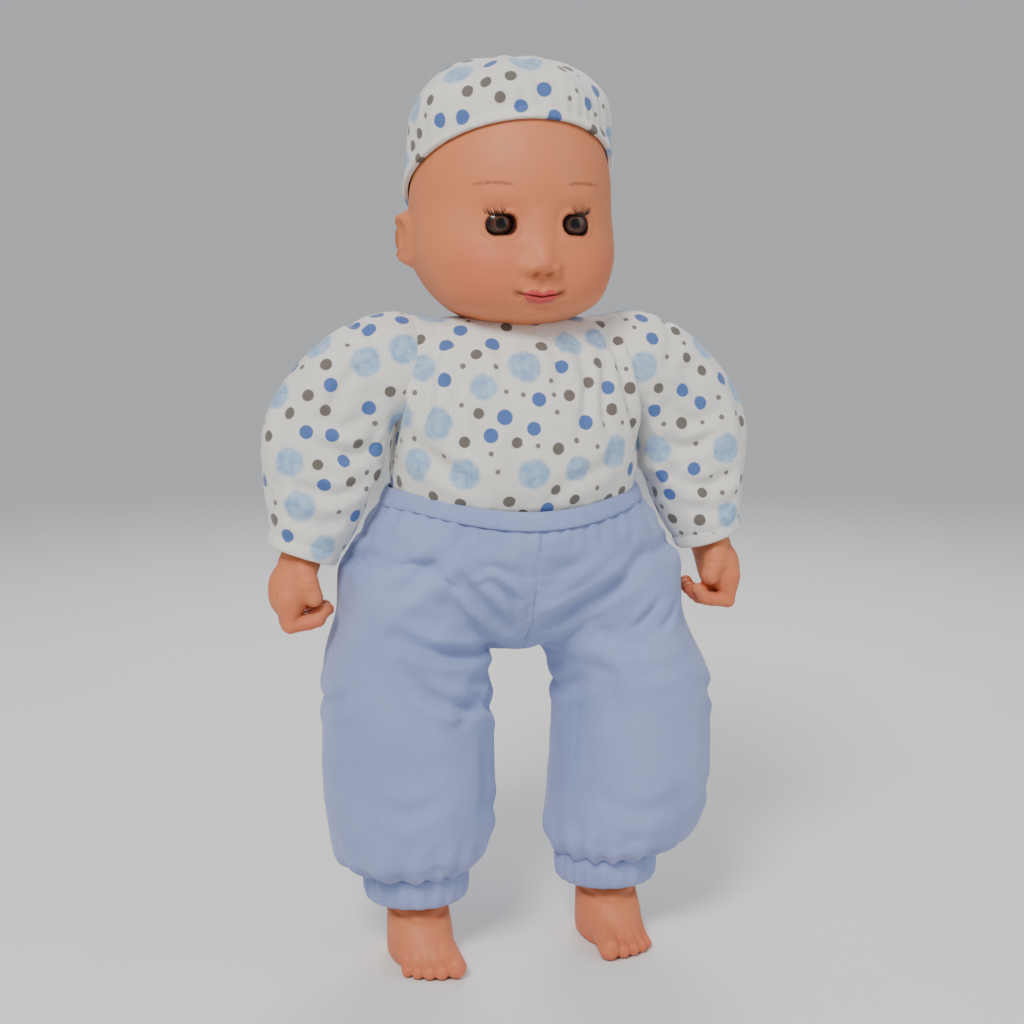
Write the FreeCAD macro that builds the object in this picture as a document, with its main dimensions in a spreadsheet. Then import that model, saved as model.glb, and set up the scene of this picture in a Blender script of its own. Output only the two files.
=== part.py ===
# Interactive baby doll, 350 mm tall, with a hollow vinyl head, sleep eyes and a soft stuffed body.
# It stands on its soles, faces -Y and has its left side on +X. All sizes are in millimetres.
# Left pieces are modelled on the +X side, and each right piece mirrors its left one.

import FreeCAD
import Part
import Sketcher
import math
import os

Vector = FreeCAD.Vector
Rotation = FreeCAD.Rotation
Placement = FreeCAD.Placement

document = FreeCAD.newDocument("BabyDoll")
sheet = document.addObject("Spreadsheet::Sheet", "Dimensions")

# ---------------------------------------------------------------- driving dimensions

DIMENSIONS = {
    "cloth": (1.4, "thickness of the printed and plain covers"),
    "cloth_gap": (0.15, "room between a cover and its fill"),
    "seam_gap": (0.3, "room beside each joint's seam"),
    "vinyl_wall": (2.4, "wall of the rotocast head"),
    "fit_gap": (0.4, "room between a vinyl stub and the cloth tied round it"),
    # head
    "head_middle_height": (300.0, "height that the head's shells are scaled about"),
    "eye_side": (14.25, "eye's centre from the middle plane"),
    "eye_depth": (-28.2, "eye's centre, front is negative"),
    "eye_height": (290.0, "eye's centre above the soles"),
    "eye_radius": (7.5, "outside of the eyeball"),
    "eye_wall": (1.1, "wall of the eyeball"),
    "socket_radius": (7.9, "inside of the moulded eye socket"),
    "socket_wall": (1.4, "wall of the moulded eye socket"),
    "eye_opening_width": (10.6, "opening between the vinyl lids"),
    "eye_opening_height": (8.8, "opening between the vinyl lids"),
    "eye_opening_corner": (2.8, "corner radius of that opening"),
    "iris_radius": (4.6, "clear iris plug"),
    "iris_dome_radius": (7.62, "front of the iris plug, a little proud of the ball"),
    "iris_floor": (5.4, "back of the iris plug, from the eye's centre"),
    "axle_radius": (0.75, "wire that the eye turns on"),
    "axle_bore_radius": (0.8, "bearing hole in the eye's housing"),
    "weight_radius": (6.3, "eye's steel counterweight"),
    "cap_gap": (0.5, "room between head and cap"),
    "cap_cloth": (1.5, "thickness of the cap"),
    "hem_width": (6.5, "hem along the cap's rim"),
    "hem_cloth": (1.0, "folded hem on top of the cap"),
    "cap_rim_front_height": (327.5, "rim of the cap above the forehead"),
    "cap_rim_slope": (27.0, "the rim falls towards the nape by this angle"),
    # ties: a vinyl stub with a groove, and the cloth ring drawn into it
    "neck_radius": (14.5, "vinyl neck"),
    "neck_groove_radius": (12.0, "groove for the neck's tie"),
    "neck_base_height": (235.0, "lower end of the neck stub"),
    "wrist_radius": (7.4, "vinyl wrist"),
    "wrist_groove_radius": (6.0, "groove for the wrist's tie"),
    "wrist_side": (83.5, "wrist's axis from the middle plane"),
    "wrist_height": (169.5, "lower edge of the sleeve"),
    "ankle_radius": (12.4, "vinyl ankle"),
    "ankle_groove_radius": (10.6, "groove for the ankle's tie"),
    "ankle_side": (40.0, "ankle's axis from the middle plane"),
    "hem_height": (24.0, "lower edge of the trousers' cuff"),
    # joints
    "shoulder_plane": (50.0, "seam between body and sleeve"),
    "hip_height": (151.0, "axis that the legs swing on"),
    "hip_radius": (30.0, "round top of each leg"),
    "hip_length": (36.0, "half length of the round top along the hip's axis"),
    "crotch_width": (17.6, "seat between the legs"),
    "crotch_height": (125.0, "underside of the seat between the legs"),
    # sound unit
    "unit_height": (208.0, "axis of the sound unit above the soles"),
    "board_depth": (-12.5, "back of the circuit board, front is negative"),
    "case_radius": (22.5, "outside of the round case"),
    "case_wall": (1.6, "wall of the case"),
    "case_front_depth": (15.0, "front half of the case"),
    "case_back_depth": (14.0, "rear half of the case"),
    "button_radius": (12.4, "press button"),
    "button_hole_radius": (12.8, "hole that the button looks out of"),
    "button_flange_radius": (14.6, "flange that keeps the button in"),
    "button_rise": (3.4, "button's dome in front of the case"),
    "board_radius": (19.6, "circuit board"),
    "board_thickness": (1.2, "circuit board"),
    "speaker_radius": (9.5, "loudspeaker's frame"),
    "speaker_up": (10.2, "loudspeaker's centre above the case's axis"),
    "cell_radius": (5.8, "button cell"),
    "cell_length": (5.4, "button cell"),
    "cells_down": (10.5, "row of cells below the case's axis"),
    "cell_middle": (6.4, "row of cells behind the board's back"),
    "screw_radius": (1.0, "self-tapping screws"),
    "screw_head_radius": (1.9, "their heads"),
}

# Sections of the soft and moulded forms, from the top down.
# Each row: height, half width, half depth, centre to the side, centre to the back.
HEAD_SECTIONS = [
    (348.0, 4.0, 5.0, 0, 3.5),
    (345.0, 14.5, 17.0, 0, 3.0),
    (337.0, 26.0, 29.0, 0, 2.4),
    (323.0, 34.2, 37.2, 0, 2.2),
    (306.0, 38.6, 41.8, 0, 2.2),
    (289.0, 39.5, 41.9, 0, 2.3),
    (276.0, 38.2, 40.2, 0, 0.8),
    (265.5, 32.5, 35.5, 0, -2.2),
    (258.0, 25.0, 27.5, 0, -6.0),
    (253.6, 15.5, 17.5, 0, -7.0),
]
TORSO_SECTIONS = [
    (252.4, 33.0, 20.5, 0, 1.0),
    (247.5, 45.5, 26.5, 0, 0.5),
    (236.0, 49.2, 33.0, 0, 0.0),
    (216.0, 49.6, 39.0, 0, -0.5),
    (198.0, 49.6, 38.8, 0, -0.5),
    (181.5, 49.7, 37.0, 0, 0.0),
]
LEG_SECTIONS = [
    (182.0, 30.0, 29.8, 39.5, 0.0),
    (151.0, 30.1, 29.9, 39.5, 0.0),
    (136.0, 30.2, 29.9, 39.8, 0.0),
    (124.0, 32.0, 30.0, 42.5, 0.0),
    (112.0, 34.5, 30.0, 45.5, 0.0),
    (93.0, 34.0, 30.0, 44.8, 0.0),
    (72.0, 35.0, 31.4, 46.3, 0.0),
    (50.0, 31.8, 29.6, 44.8, 0.0),
    (36.2, 22.0, 21.5, 41.0, 0.0),
]
SEAT_SECTIONS = [
    (181.2, 51.2, 38.8, 0.0, 0.0),
    (171.0, 52.0, 39.6, 0.0, 1.2),
    (158.0, 50.5, 38.0, 0.0, 2.0),
    (125.0, 40.0, 24.0, 0.0, 2.0),
]
FOOT_SECTIONS = [
    (27.0, 12.0, 12.2, 40.0, 0.0),
    (23.4, 12.1, 12.4, 40.0, -0.1),
    (18.0, 12.4, 16.5, 40.0, -3.2),
    (12.0, 12.8, 21.0, 40.0, -6.6),
    (6.5, 13.0, 23.8, 40.0, -8.5),
    (2.5, 12.8, 24.0, 40.0, -8.5),
    (0.0, 10.8, 21.5, 40.0, -8.0),
]
PALM_SECTIONS = [
    (169.0, 7.2, 7.4, 83.5, 0.0),
    (162.0, 8.4, 9.4, 85.2, 0.0),
    (155.0, 8.8, 11.2, 88.0, 0.3),
    (148.0, 7.8, 11.6, 89.2, 0.5),
    (142.5, 5.4, 10.4, 89.4, 0.5),
]
# Each row: side, height, half thickness, half depth, lean of the section.
ARM_SECTIONS = [
    (44.0, 237.5, 17.6, 16.5, 84),
    (55.0, 235.0, 17.9, 16.5, 66),
    (66.5, 226.5, 17.8, 16.5, 44),
    (76.8, 212.0, 17.4, 16.4, 22),
    (82.2, 196.0, 16.2, 15.4, 8),
    (83.4, 184.0, 14.2, 13.8, 0),
    (83.5, 178.2, 11.8, 11.6, 0),
]


FORMS = {"head": HEAD_SECTIONS, "torso": TORSO_SECTIONS, "seat": SEAT_SECTIONS, "leg": LEG_SECTIONS}
FORMS.update({"foot": FOOT_SECTIONS, "palm": PALM_SECTIONS})
OVERRUN = 0.5  # how far a cutting form runs past the end that it leaves open


def fillSheet():
    """Writes every driving dimension and every section into the sheet under a word of its own."""
    rows = [(name, value, note) for name, (value, note) in DIMENSIONS.items()]
    columns = ("height", "width", "depth", "side", "back")
    for form, sections in FORMS.items():
        for number, section in enumerate(sections):
            for column, value in zip(columns, section):
                rows.append((f"{form}_{column}_{number}", value, f"{form}, section {number}"))
    for number, section in enumerate(ARM_SECTIONS):
        for column, value in zip(("side", "height", "width", "depth", "lean"), section):
            rows.append((f"arm_{column}_{number}", value, f"arm, section {number}"))
    for line, (name, value, note) in enumerate(rows, start=1):
        sheet.set(f"A{line}", name)
        sheet.set(f"B{line}", str(value))
        sheet.setAlias(f"B{line}", name)
        sheet.set(f"C{line}", note)
    document.recompute()


def cell(name):
    return f"Dimensions.{name}"


def value(expression):
    """The number that an expression over the sheet's cells gives now."""
    return float(sheet.evalExpression(str(expression)))


def bind(thing, **expressions):
    for name, expression in expressions.items():
        thing.setExpression(name.replace("__", "."), str(expression))
    return thing


# ---------------------------------------------------------------- small builders


def named(thing, label):
    thing.Label = label
    return thing


def cut(label, base, *tools):
    """The base with every tool taken away, in turn."""
    for number, tool in enumerate(tools, start=1):
        step = document.addObject("Part::Cut", f"{label}_cut_{number}")
        step.Base = base
        step.Tool = tool
        base = step
    return named(base, label)


def fuse(label, *shapes):
    whole = document.addObject("Part::MultiFuse", f"{label}_whole")
    whole.Shapes = list(shapes)
    return named(whole, label)


def common(label, base, tool):
    shared = document.addObject("Part::Common", f"{label}_shared")
    shared.Base = base
    shared.Tool = tool
    return named(shared, label)


def box(label, length, width, height, x, y, z):
    """A box centred on x and y and standing on z; every size is an expression."""
    block = document.addObject("Part::Box", label)
    bind(block, Length=length, Width=width, Height=height)
    bind(block, Placement__Base__x=f"({x}) - ({length}) / 2")
    bind(block, Placement__Base__y=f"({y}) - ({width}) / 2", Placement__Base__z=z)
    return block


AXIS_TURNS = {"x": Rotation(Vector(0, 1, 0), 90), "y": Rotation(Vector(1, 0, 0), -90), "z": Rotation()}


def cylinder(label, radius, height, x, y, z, axis="z"):
    """A cylinder that starts at x, y, z and runs along one of the axes."""
    rod = document.addObject("Part::Cylinder", label)
    rod.Placement = Placement(Vector(), AXIS_TURNS[axis])
    bind(rod, Radius=radius, Height=height)
    bind(rod, Placement__Base__x=x, Placement__Base__y=y, Placement__Base__z=z)
    return rod


def sphere(label, radius, x, y, z):
    ball = document.addObject("Part::Sphere", label)
    bind(ball, Radius=radius, Placement__Base__x=x, Placement__Base__y=y, Placement__Base__z=z)
    return ball


def ellipsoid(label, halves, centre, turn=Rotation()):
    """An ellipsoid with half sizes along its own X, Y and Z."""
    bump = document.addObject("Part::Ellipsoid", label)
    bump.Placement = Placement(Vector(*centre), turn)
    bind(bump, Radius2=halves[0], Radius3=halves[1], Radius1=halves[2])
    return bump


def mirrored(source, label):
    """The same piece on the doll's right side."""
    twin = document.addObject("Part::Mirroring", f"{label}_twin")
    twin.Source = source
    twin.Normal = Vector(1, 0, 0)
    return named(twin, label)


def sectionLoft(label, form, grow="0", rise="0", top="0", bottom="0"):
    """A smooth solid through a form's ellipses, each grown by grow. Rise stretches it about the head's
    middle, and top and bottom shift its first and last section up or down."""
    count = len(FORMS[form])
    deep = value(cell(f"{form}_depth_1")) > value(cell(f"{form}_width_1"))
    ellipses = []
    for number in range(count):
        ellipse = document.addObject("Part::Ellipse", f"{label}_section_{number}")
        longer, shorter = ("depth", "width") if deep else ("width", "depth")
        if deep:
            ellipse.Placement = Placement(Vector(), Rotation(Vector(0, 0, 1), 90))
        height = cell(f"{form}_height_{number}")
        bind(ellipse, MajorRadius=f"{cell(f'{form}_{longer}_{number}')} + {grow}")
        bind(ellipse, MinorRadius=f"{cell(f'{form}_{shorter}_{number}')} + {grow}")
        bind(ellipse, Placement__Base__x=cell(f"{form}_side_{number}"))
        bind(ellipse, Placement__Base__y=cell(f"{form}_back_{number}"))
        middle = cell("head_middle_height")
        shift = {0: top, count - 1: bottom}.get(number, "0")
        bind(ellipse, Placement__Base__z=f"{height} + ({height} - {middle}) / 50 * ({rise}) + ({shift})")
        ellipses.append(ellipse)
    loft = document.addObject("Part::Loft", label)
    loft.Sections = ellipses
    loft.Solid = True
    return loft


def armLoft(label, grow="0", bottom="0"):
    """The arm's solid through leaning ellipses, from inside the shoulder down to the wrist."""
    ellipses = []
    for number in range(len(ARM_SECTIONS)):
        ellipse = document.addObject("Part::Ellipse", f"{label}_section_{number}")
        ellipse.Placement = Placement(Vector(), Rotation(Vector(0, 1, 0), -ARM_SECTIONS[number][4]))
        bind(ellipse, MajorRadius=f"{cell(f'arm_width_{number}')} + {grow}")
        bind(ellipse, MinorRadius=f"{cell(f'arm_depth_{number}')} + {grow}")
        bind(ellipse, Placement__Base__x=cell(f"arm_side_{number}"))
        shift = bottom if number == len(ARM_SECTIONS) - 1 else "0"
        bind(ellipse, Placement__Base__z=f"{cell(f'arm_height_{number}')} + ({shift})")
        ellipses.append(ellipse)
    loft = document.addObject("Part::Loft", label)
    loft.Sections = ellipses
    loft.Solid = True
    return loft


def originPlane(body, role):
    return [plane for plane in body.Origin.OriginFeatures if plane.Role == role][0]


def outline(body, name, corners):
    """A closed sketch whose corners are all tied to the sheet."""
    sketch = body.newObject("Sketcher::SketchObject", name)
    sketch.AttachmentSupport = [(originPlane(body, "XZ_Plane"), "")]
    sketch.MapMode = "FlatFace"
    points = [Vector(value(x), value(y), 0) for x, y in corners]
    for number, point in enumerate(points):
        sketch.addGeometry(Part.LineSegment(point, points[(number + 1) % len(points)]))
    for number in range(len(points)):
        sketch.addConstraint(Sketcher.Constraint("Coincident", number, 2, (number + 1) % len(points), 1))
    for number, (point, corner) in enumerate(zip(points, corners)):
        for kind, size, expression in zip(("DistanceX", "DistanceY"), (point.x, point.y), corner):
            index = sketch.addConstraint(Sketcher.Constraint(kind, -1, 1, number, 1, size))
            sketch.setExpression(f"Constraints[{index}]", str(expression))
    return sketch


def turned(label, corners, x="0", y="0", z="0", turn=Rotation()):
    """A PartDesign body turned about its own Z from a closed outline of (radius, height) corners."""
    body = document.addObject("PartDesign::Body", label)
    body.Placement = Placement(Vector(), turn)
    bind(body, Placement__Base__x=x, Placement__Base__y=y, Placement__Base__z=z)
    sketch = outline(body, f"{label}_outline", corners)
    revolution = body.newObject("PartDesign::Revolution", f"{label}_turned")
    revolution.Profile = sketch
    revolution.ReferenceAxis = (sketch, ["V_Axis"])
    revolution.Angle = 360
    document.recompute()
    return named(body, label)


# ---------------------------------------------------------------- grooved stubs and their ties

# Flange, groove and chamfer along each stub.
STUB_STEPS = {"neck": (5.0, 5.6, 1.6), "wrist": (3.0, 3.2, 1.1), "ankle": (3.4, 3.4, 1.4)}


def stubCorners(name, up, reach, grow="0"):
    """Outline of a grooved stub: flange, groove, then the limb's own radius up to reach."""
    flange, groove, chamfer = STUB_STEPS[name]
    radius = f"{cell(name + '_radius')} + {grow}"
    inner = f"{cell(name + '_groove_radius')} + {grow}"
    steps = [("0", 0), (f"{radius} - {chamfer}", 0), (radius, chamfer), (radius, flange)]
    steps += [(inner, f"{flange} + 0.6"), (inner, f"{flange + groove} - 0.6")]
    steps += [(radius, flange + groove), (radius, reach), ("0", reach)]
    return [(across, f"{along}" if up else f"-({along})") for across, along in steps]


def tieRing(label, name, x, base, up):
    """The plastic tie that lies in a stub's groove; its outside is the cloth's bore."""
    flange, groove, _ = STUB_STEPS[name]
    inner = f"{cell(name + '_groove_radius')} + {cell('fit_gap')}"
    outer = f"{cell(name + '_radius')} + {cell('fit_gap')}"
    low, high = f"{flange} + 1.1", f"{flange + groove} - 1.1"
    corners = [(inner, low), (outer, low), (outer, high), (inner, high)]
    if not up:
        corners = [(across, f"-({along})") for across, along in corners]
    return turned(label, corners, x=x, z=base)


def bore(label, name, x, y, low, length):
    """The hole in the cloth round a stub."""
    return cylinder(label, f"{cell(name + '_radius')} + {cell('fit_gap')}", length, x, y, low)


def rods(points, radii):
    """A rounded rod through points, with a ball at each: one finger or one toe."""
    solids = [Part.makeSphere(radius, Vector(*point)) for point, radius in zip(points, radii)]
    for number in range(len(points) - 1):
        start, end = Vector(*points[number]), Vector(*points[number + 1])
        first, second = radii[number], radii[number + 1]
        run = end - start
        if abs(first - second) < 0.01:
            solids.append(Part.makeCylinder(first, run.Length, start, run))
        else:
            solids.append(Part.makeCone(first, second, run.Length, start, run))
    return solids[0].fuse(solids[1:]).removeSplitter()


def shaped(label, shape, place=Placement()):
    feature = document.addObject("Part::Feature", label)
    feature.Shape = shape
    feature.Placement = place
    return feature


# ---------------------------------------------------------------- head


def makeHead():
    """Hollow vinyl head: skull, cheeks, nose, lips, ears, eye sockets, neck stub with its groove."""
    skull = sectionLoft("skull_outside", "head")
    wall = cell("vinyl_wall")
    hollow = sectionLoft("skull_inside", "head", grow=f"-{wall}", rise=f"-{wall}")
    nose = ellipsoid("nose", (5.4, 4.8, 3.7), (0, -40.0, 275.3))
    bridge = ellipsoid("nose_bridge", (4.2, 3.4, 9.0), (0, -38.2, 281.0))
    upper_lip = ellipsoid("upper_lip", (7.6, 3.2, 1.9), (0, -36.9, 265.8))
    lower_lip = ellipsoid("lower_lip", (6.0, 3.6, 2.2), (0, -35.8, 262.4))
    chin = ellipsoid("chin", (12.0, 9.0, 7.0), (0, -26.6, 259.8))
    bumps = [nose, bridge, upper_lip, lower_lip, chin]
    for side, name in ((1, "left"), (-1, "right")):
        tilt = Rotation(Vector(0, 0, 1), -14 * side)
        bumps.append(ellipsoid(f"cheek_{name}", (17.0, 16.0, 14.5), (side * 17.0, -20.8, 272.5)))
        ear = ellipsoid(f"ear_{name}_form", (4.6, 8.2, 10.6), (side * 38.0, 9.0, 284.6), tilt)
        dish = ellipsoid(f"ear_{name}_dish", (2.6, 4.7, 6.7), (side * 42.9, 7.2, 285.6), tilt)
        bumps.append(cut(f"ear_{name}", ear, dish))
    corners = stubCorners("neck", True, 26)
    bumps.append(turned("neck_stub", corners, z=cell("neck_base_height")))
    solid = fuse("head_solid", skull, *bumps)
    throat = cylinder("throat", "9.5", "40", "0", "0", f"{cell('neck_base_height')} - 1")
    shell = cut("head_hollow", solid, hollow, throat)
    sockets, holes = [], []
    for side, name in ((1, "left"), (-1, "right")):
        place = (f"{side} * {cell('eye_side')}", cell("eye_depth"), cell("eye_height"))
        outside = f"{cell('socket_radius')} + {cell('socket_wall')}"
        mound = sphere(f"socket_{name}_outside", outside, *place)
        front = box(f"socket_{name}_front", 24, 12, 24, place[0], f"{place[1]} - 8", f"{place[2]} - 12")
        sockets.append(common(f"socket_{name}", mound, front))
        holes.append(sphere(f"socket_{name}_inside", cell("socket_radius"), *place))
        holes.append(eyeOpening(f"opening_{name}", place))
        room = sphere(f"housing_room_{name}", f"{outside} + 0.05", *place)
        rear = box(f"housing_room_{name}_rear", 24, 24, 24, place[0], f"{place[1]} + 10.2", f"{place[2]} - 12")
        holes.append(common(f"housing_place_{name}", room, rear))
    return cut("head_shell", fuse("head_with_sockets", shell, *sockets), *holes)


def eyeOpening(label, place):
    """Rounded rectangle between the vinyl lids, cut straight back."""
    width, height = cell("eye_opening_width"), cell("eye_opening_height")
    corner = cell("eye_opening_corner")
    depth, front = 16, f"{place[1]} - 16"
    middle_x, _, middle_z = place
    low = f"{middle_z} - ({height}) / 2"
    pieces = [
        box(f"{label}_tall", f"{width} - 2 * {corner}", depth, height, middle_x, f"{front} + 8", low),
        box(f"{label}_wide", width, depth, f"{height} - 2 * {corner}", middle_x, f"{front} + 8",
            f"{low} + {corner}"),
    ]
    for number, (across, along) in enumerate(((1, 1), (1, -1), (-1, 1), (-1, -1))):
        x = f"{middle_x} + {across} * ({width} / 2 - {corner})"
        z = f"{middle_z} + {along} * ({height} / 2 - {corner})"
        pieces.append(cylinder(f"{label}_corner_{number}", corner, depth, x, front, z, "y"))
    return fuse(label, *pieces)


def makeEye(side, name):
    """One sleep eye and its housing. The ball's front and the lids' edge look out of the socket."""
    x = f"{side} * {cell('eye_side')}"
    y, z = cell("eye_depth"), cell("eye_height")
    radius, wall = cell("eye_radius"), cell("eye_wall")
    iris, floor = cell("iris_radius"), cell("iris_floor")
    # ball with a seat for the iris plug and a hole for the axle
    ball = sphere(f"ball_{name}", radius, x, y, z)
    hollow = sphere(f"ball_{name}_inside", f"{radius} - {wall}", x, y, z)
    seat = cylinder(f"iris_seat_{name}", iris, 6, x, f"{y} - {floor} - 6", z, "y")
    axle_hole = cylinder(f"axle_hole_{name}", cell("axle_radius"), 20, f"{x} - 10", y, z, "x")
    made = [cut(f"eyeball_{name}", ball, hollow, seat, axle_hole)]
    # clear iris plug with a slot for the lash strip
    dome = sphere(f"iris_dome_{name}", cell("iris_dome_radius"), x, y, z)
    plug = cylinder(f"iris_plug_{name}", iris, 6, x, f"{y} - {floor} - 6", z, "y")
    blank = common(f"iris_blank_{name}", dome, plug)
    made.append(cut(f"eye_iris_{name}", blank, lashSlot(f"iris_slot_{name}", side, "10.4", "6.9", 0.02)))
    made.append(lashSlot(f"eyelash_{name}", side, "10.0", "6.92", 0.0))
    made.append(cylinder(f"eye_axle_{name}", cell("axle_radius"), 17.6, f"{x} - 8.8", y, z, "x"))
    # steel counterweight behind and below the axle, so that the lid falls when the doll lies down
    weight = document.addObject("Part::Sphere", f"eye_weight_{name}")
    weight.Placement = Placement(Vector(), Rotation(Vector(0, 0, 1), Vector(0, 0.62, -0.78)))
    bind(weight, Radius=cell("weight_radius"), Angle1=24)
    bind(weight, Placement__Base__x=x, Placement__Base__y=y, Placement__Base__z=z)
    made.append(weight)
    # housing: rear cup with the two bearing holes
    outside = sphere(f"housing_{name}_outside", f"{cell('socket_radius')} + {cell('socket_wall')}", x, y, z)
    inside = sphere(f"housing_{name}_inside", cell("socket_radius"), x, y, z)
    front = box(f"housing_{name}_front", 24, 12, 24, x, f"{y} - 7.7", f"{z} - 12")
    bearing = cylinder(f"bearing_{name}", cell("axle_bore_radius"), 24, f"{x} - 12", y, z, "x")
    made.append(cut(f"eye_housing_{name}", outside, inside, front, bearing))
    return made


def lashSlot(label, side, radius, inner, spare):
    """A thin curved strip fanned about the eye's centre: the lashes, or with spare their slot."""
    lean, half_angle, thickness = 22, 19.5, 0.36 + spare
    outer, start = float(radius), float(inner)
    centre = Vector(side * value(cell("eye_side")), value(cell("eye_depth")), value(cell("eye_height")))
    half = math.radians(half_angle)
    corners = []
    for reach, angles in ((outer, (-half, 0, half)), (start, (half, 0, -half))):
        corners.append([Vector(reach * math.sin(angle), -reach * math.cos(angle), 0) for angle in angles])
    front = Part.Arc(*corners[0]).toShape()
    back = Part.Arc(*corners[1]).toShape()
    sides = [Part.makeLine(corners[0][2], corners[1][0]), Part.makeLine(corners[1][2], corners[0][0])]
    face = Part.Face(Part.Wire([front, sides[0], back, sides[1]]))
    strip = face.extrude(Vector(0, 0, thickness))
    turn = Rotation(Vector(1, 0, 0), -lean)
    return shaped(label, strip, Placement(centre + turn.multVec(Vector(0, 0, -thickness / 2)), turn))


def rimCutter(label, offset):
    """Everything below the cap's sloping rim, lifted by offset along the rim's normal."""
    block = document.addObject("Part::Box", label)
    slope = value(cell("cap_rim_slope"))
    turn = Rotation(Vector(1, 0, 0), -slope)
    bind(block, Length=200, Width=200, Height=150)
    front = Vector(0, -38, value(cell("cap_rim_front_height")))
    corner = front + turn.multVec(Vector(-100, -60, -150 + offset))
    block.Placement = Placement(corner, turn)
    return block


def makeCap():
    """Cotton cap pulled over the skull, with a hem folded over along the rim."""
    gap, cloth, hem = cell("cap_gap"), cell("cap_cloth"), cell("hem_cloth")
    inner = sectionLoft("cap_inside", "head", grow=gap, rise=gap)
    outer = sectionLoft("cap_outside", "head", grow=f"{gap} + {cloth}", rise=f"{gap} + {cloth}")
    cap = cut("cap", outer, inner, rimCutter("cap_rim", 0))
    under = sectionLoft("hem_inside", "head", grow=f"{gap} + {cloth}", rise=f"{gap} + {cloth}")
    over = f"{gap} + {cloth} + {hem}"
    band = sectionLoft("hem_outside", "head", grow=over, rise=over)
    strip = cut("hem_strip", band, under, rimCutter("hem_rim", 0))
    width = value(cell("hem_width"))
    return [cap, common("cap_hem", strip, rimCutter("hem_top", width))]


# ---------------------------------------------------------------- body


def makeTorso():
    """Stuffed body: printed cover, fill with the sound unit's pocket, back closure, neck tie."""
    cloth, gap = cell("cloth"), cell("cloth_gap")
    outside = sectionLoft("torso_outside", "torso")
    inside = sectionLoft("torso_inside", "torso", grow=f"-{cloth}", top=f"-{cloth}", bottom=f"-{OVERRUN}")
    inset = f"{cloth} + {gap}"
    fill = sectionLoft("torso_fill_form", "torso", grow=f"-({inset})", top=f"-({inset})")
    base = cell("neck_base_height")
    cover = cut("torso_cover", outside, inside, bore("cover_neck_hole", "neck", 0, 0, base, 30))
    unit_radius = f"{cell('case_radius')} + 0.5"
    front = f"{cell('board_depth')} - {cell('case_front_depth')} - {cell('button_rise')} - 0.3"
    depth = f"{cell('case_front_depth')} + {cell('case_back_depth')} + {cell('button_rise')} + 3.6"
    pocket = cylinder("unit_pocket", unit_radius, depth, 0, front, cell("unit_height"), "y")
    access = cylinder("battery_access", 17, 60, 0, 0, cell("unit_height"), "y")
    neck_hole = bore("neck_hole", "neck", 0, 0, f"{base} - 0.6", 30)
    strips = box("strip_room", 18.4, 12, 36.4, 0, 36.0, f"{cell('unit_height')} - 20.2")
    made = [cover]
    made.append(cut("torso_fill", fill, pocket, access, neck_hole, strips))
    made.append(tieRing("neck_tie", "neck", "0", base, True))
    loop = box("closure_loop_strip", 18, 1.1, 32, 0, 31.0, f"{cell('unit_height')} - 18")
    hook = box("closure_hook_strip", 18, 1.1, 32, 0, 32.2, f"{cell('unit_height')} - 18")
    made += [loop, hook]
    return made


def hipCylinder(label, grow, start, length):
    radius = f"{cell('hip_radius')} + {grow}"
    return cylinder(label, radius, length, start, "0", cell("hip_height"), "x")


def makeSeat():
    """Seat of the trousers: it wraps the back of both hips and closes the crotch between them."""
    form = sectionLoft("seat_form", "seat")
    half = f"{cell('crotch_width')} / 2"
    gap = cell("seam_gap")
    legs = [hipCylinder("hip_room_left", gap, half, 80), hipCylinder("hip_room_right", gap, f"-80 - {half}", 80)]
    low, hip = cell("crotch_height"), cell("hip_height")
    for side, name in ((1, "left"), (-1, "right")):
        middle = f"{side} * (40 + {half})"
        tall = f"{cell('seat_height_0')} - {low}"
        legs.append(box(f"front_room_{name}", 80, 60, f"{tall} + 1", middle, -30, low))
        legs.append(box(f"under_room_{name}", 80, 60, f"{hip} + 10.5 - {low}", middle, 30, low))
    seat = cut("trouser_seat", form, *legs)
    cloth = cell("cloth")
    top = f"{cell('cloth_gap')} + {cloth}"
    band_outer = sectionLoft("waistband_outside", "torso", grow=top)
    band_inner = sectionLoft("waistband_inside", "torso", grow=cell("cloth_gap"), bottom=f"-{OVERRUN}")
    slab = box("waistband_height", 120, 90, 6.8, 0, 0, cell("torso_height_5"))
    return [seat, cut("waistband", common("waistband_band", band_outer, slab), band_inner)]


def makeArm():
    """Left sleeve, its fill, the gathered cuff and the tie in the wrist's groove."""
    cloth, gap = cell("cloth"), cell("cloth_gap")
    plane = f"{cell('shoulder_plane')} + {cell('seam_gap')}"

    def inboard(label):
        return box(label, 60, 80, 120, f"{plane} - 30", 0, 170)

    outside = armLoft("sleeve_outside")
    inside = armLoft("sleeve_inside", grow=f"-{cloth}", bottom=f"-{OVERRUN}")
    sleeve = cut("sleeve_left", outside, inside, inboard("sleeve_seam"))
    form = armLoft("arm_fill_form", grow=f"-{cloth} - {gap}")
    foot_of_fill = box("arm_fill_end", 60, 60, 20, cell("wrist_side"), 0, f"{cell('wrist_height')} - 7")
    fill = cut("arm_fill_left", form, inboard("arm_fill_seam"), foot_of_fill)
    inner = f"{cell('wrist_radius')} + {cell('fit_gap')}"
    corners = [(inner, 0), ("10.6", 0), ("11.6", 1.6), ("11.5", 7.6), ("11.0", 8.6), ("9.7", 8.8)]
    corners += [("9.7", 12.2), (inner, 12.2)]
    cuff = turned("wrist_cuff_left", corners, x=cell("wrist_side"), z=cell("wrist_height"))
    tie = tieRing("wrist_tie_left", "wrist", cell("wrist_side"), f"{cell('wrist_height')} + 11.6", False)
    return [sleeve, fill, cuff, tie]


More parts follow.
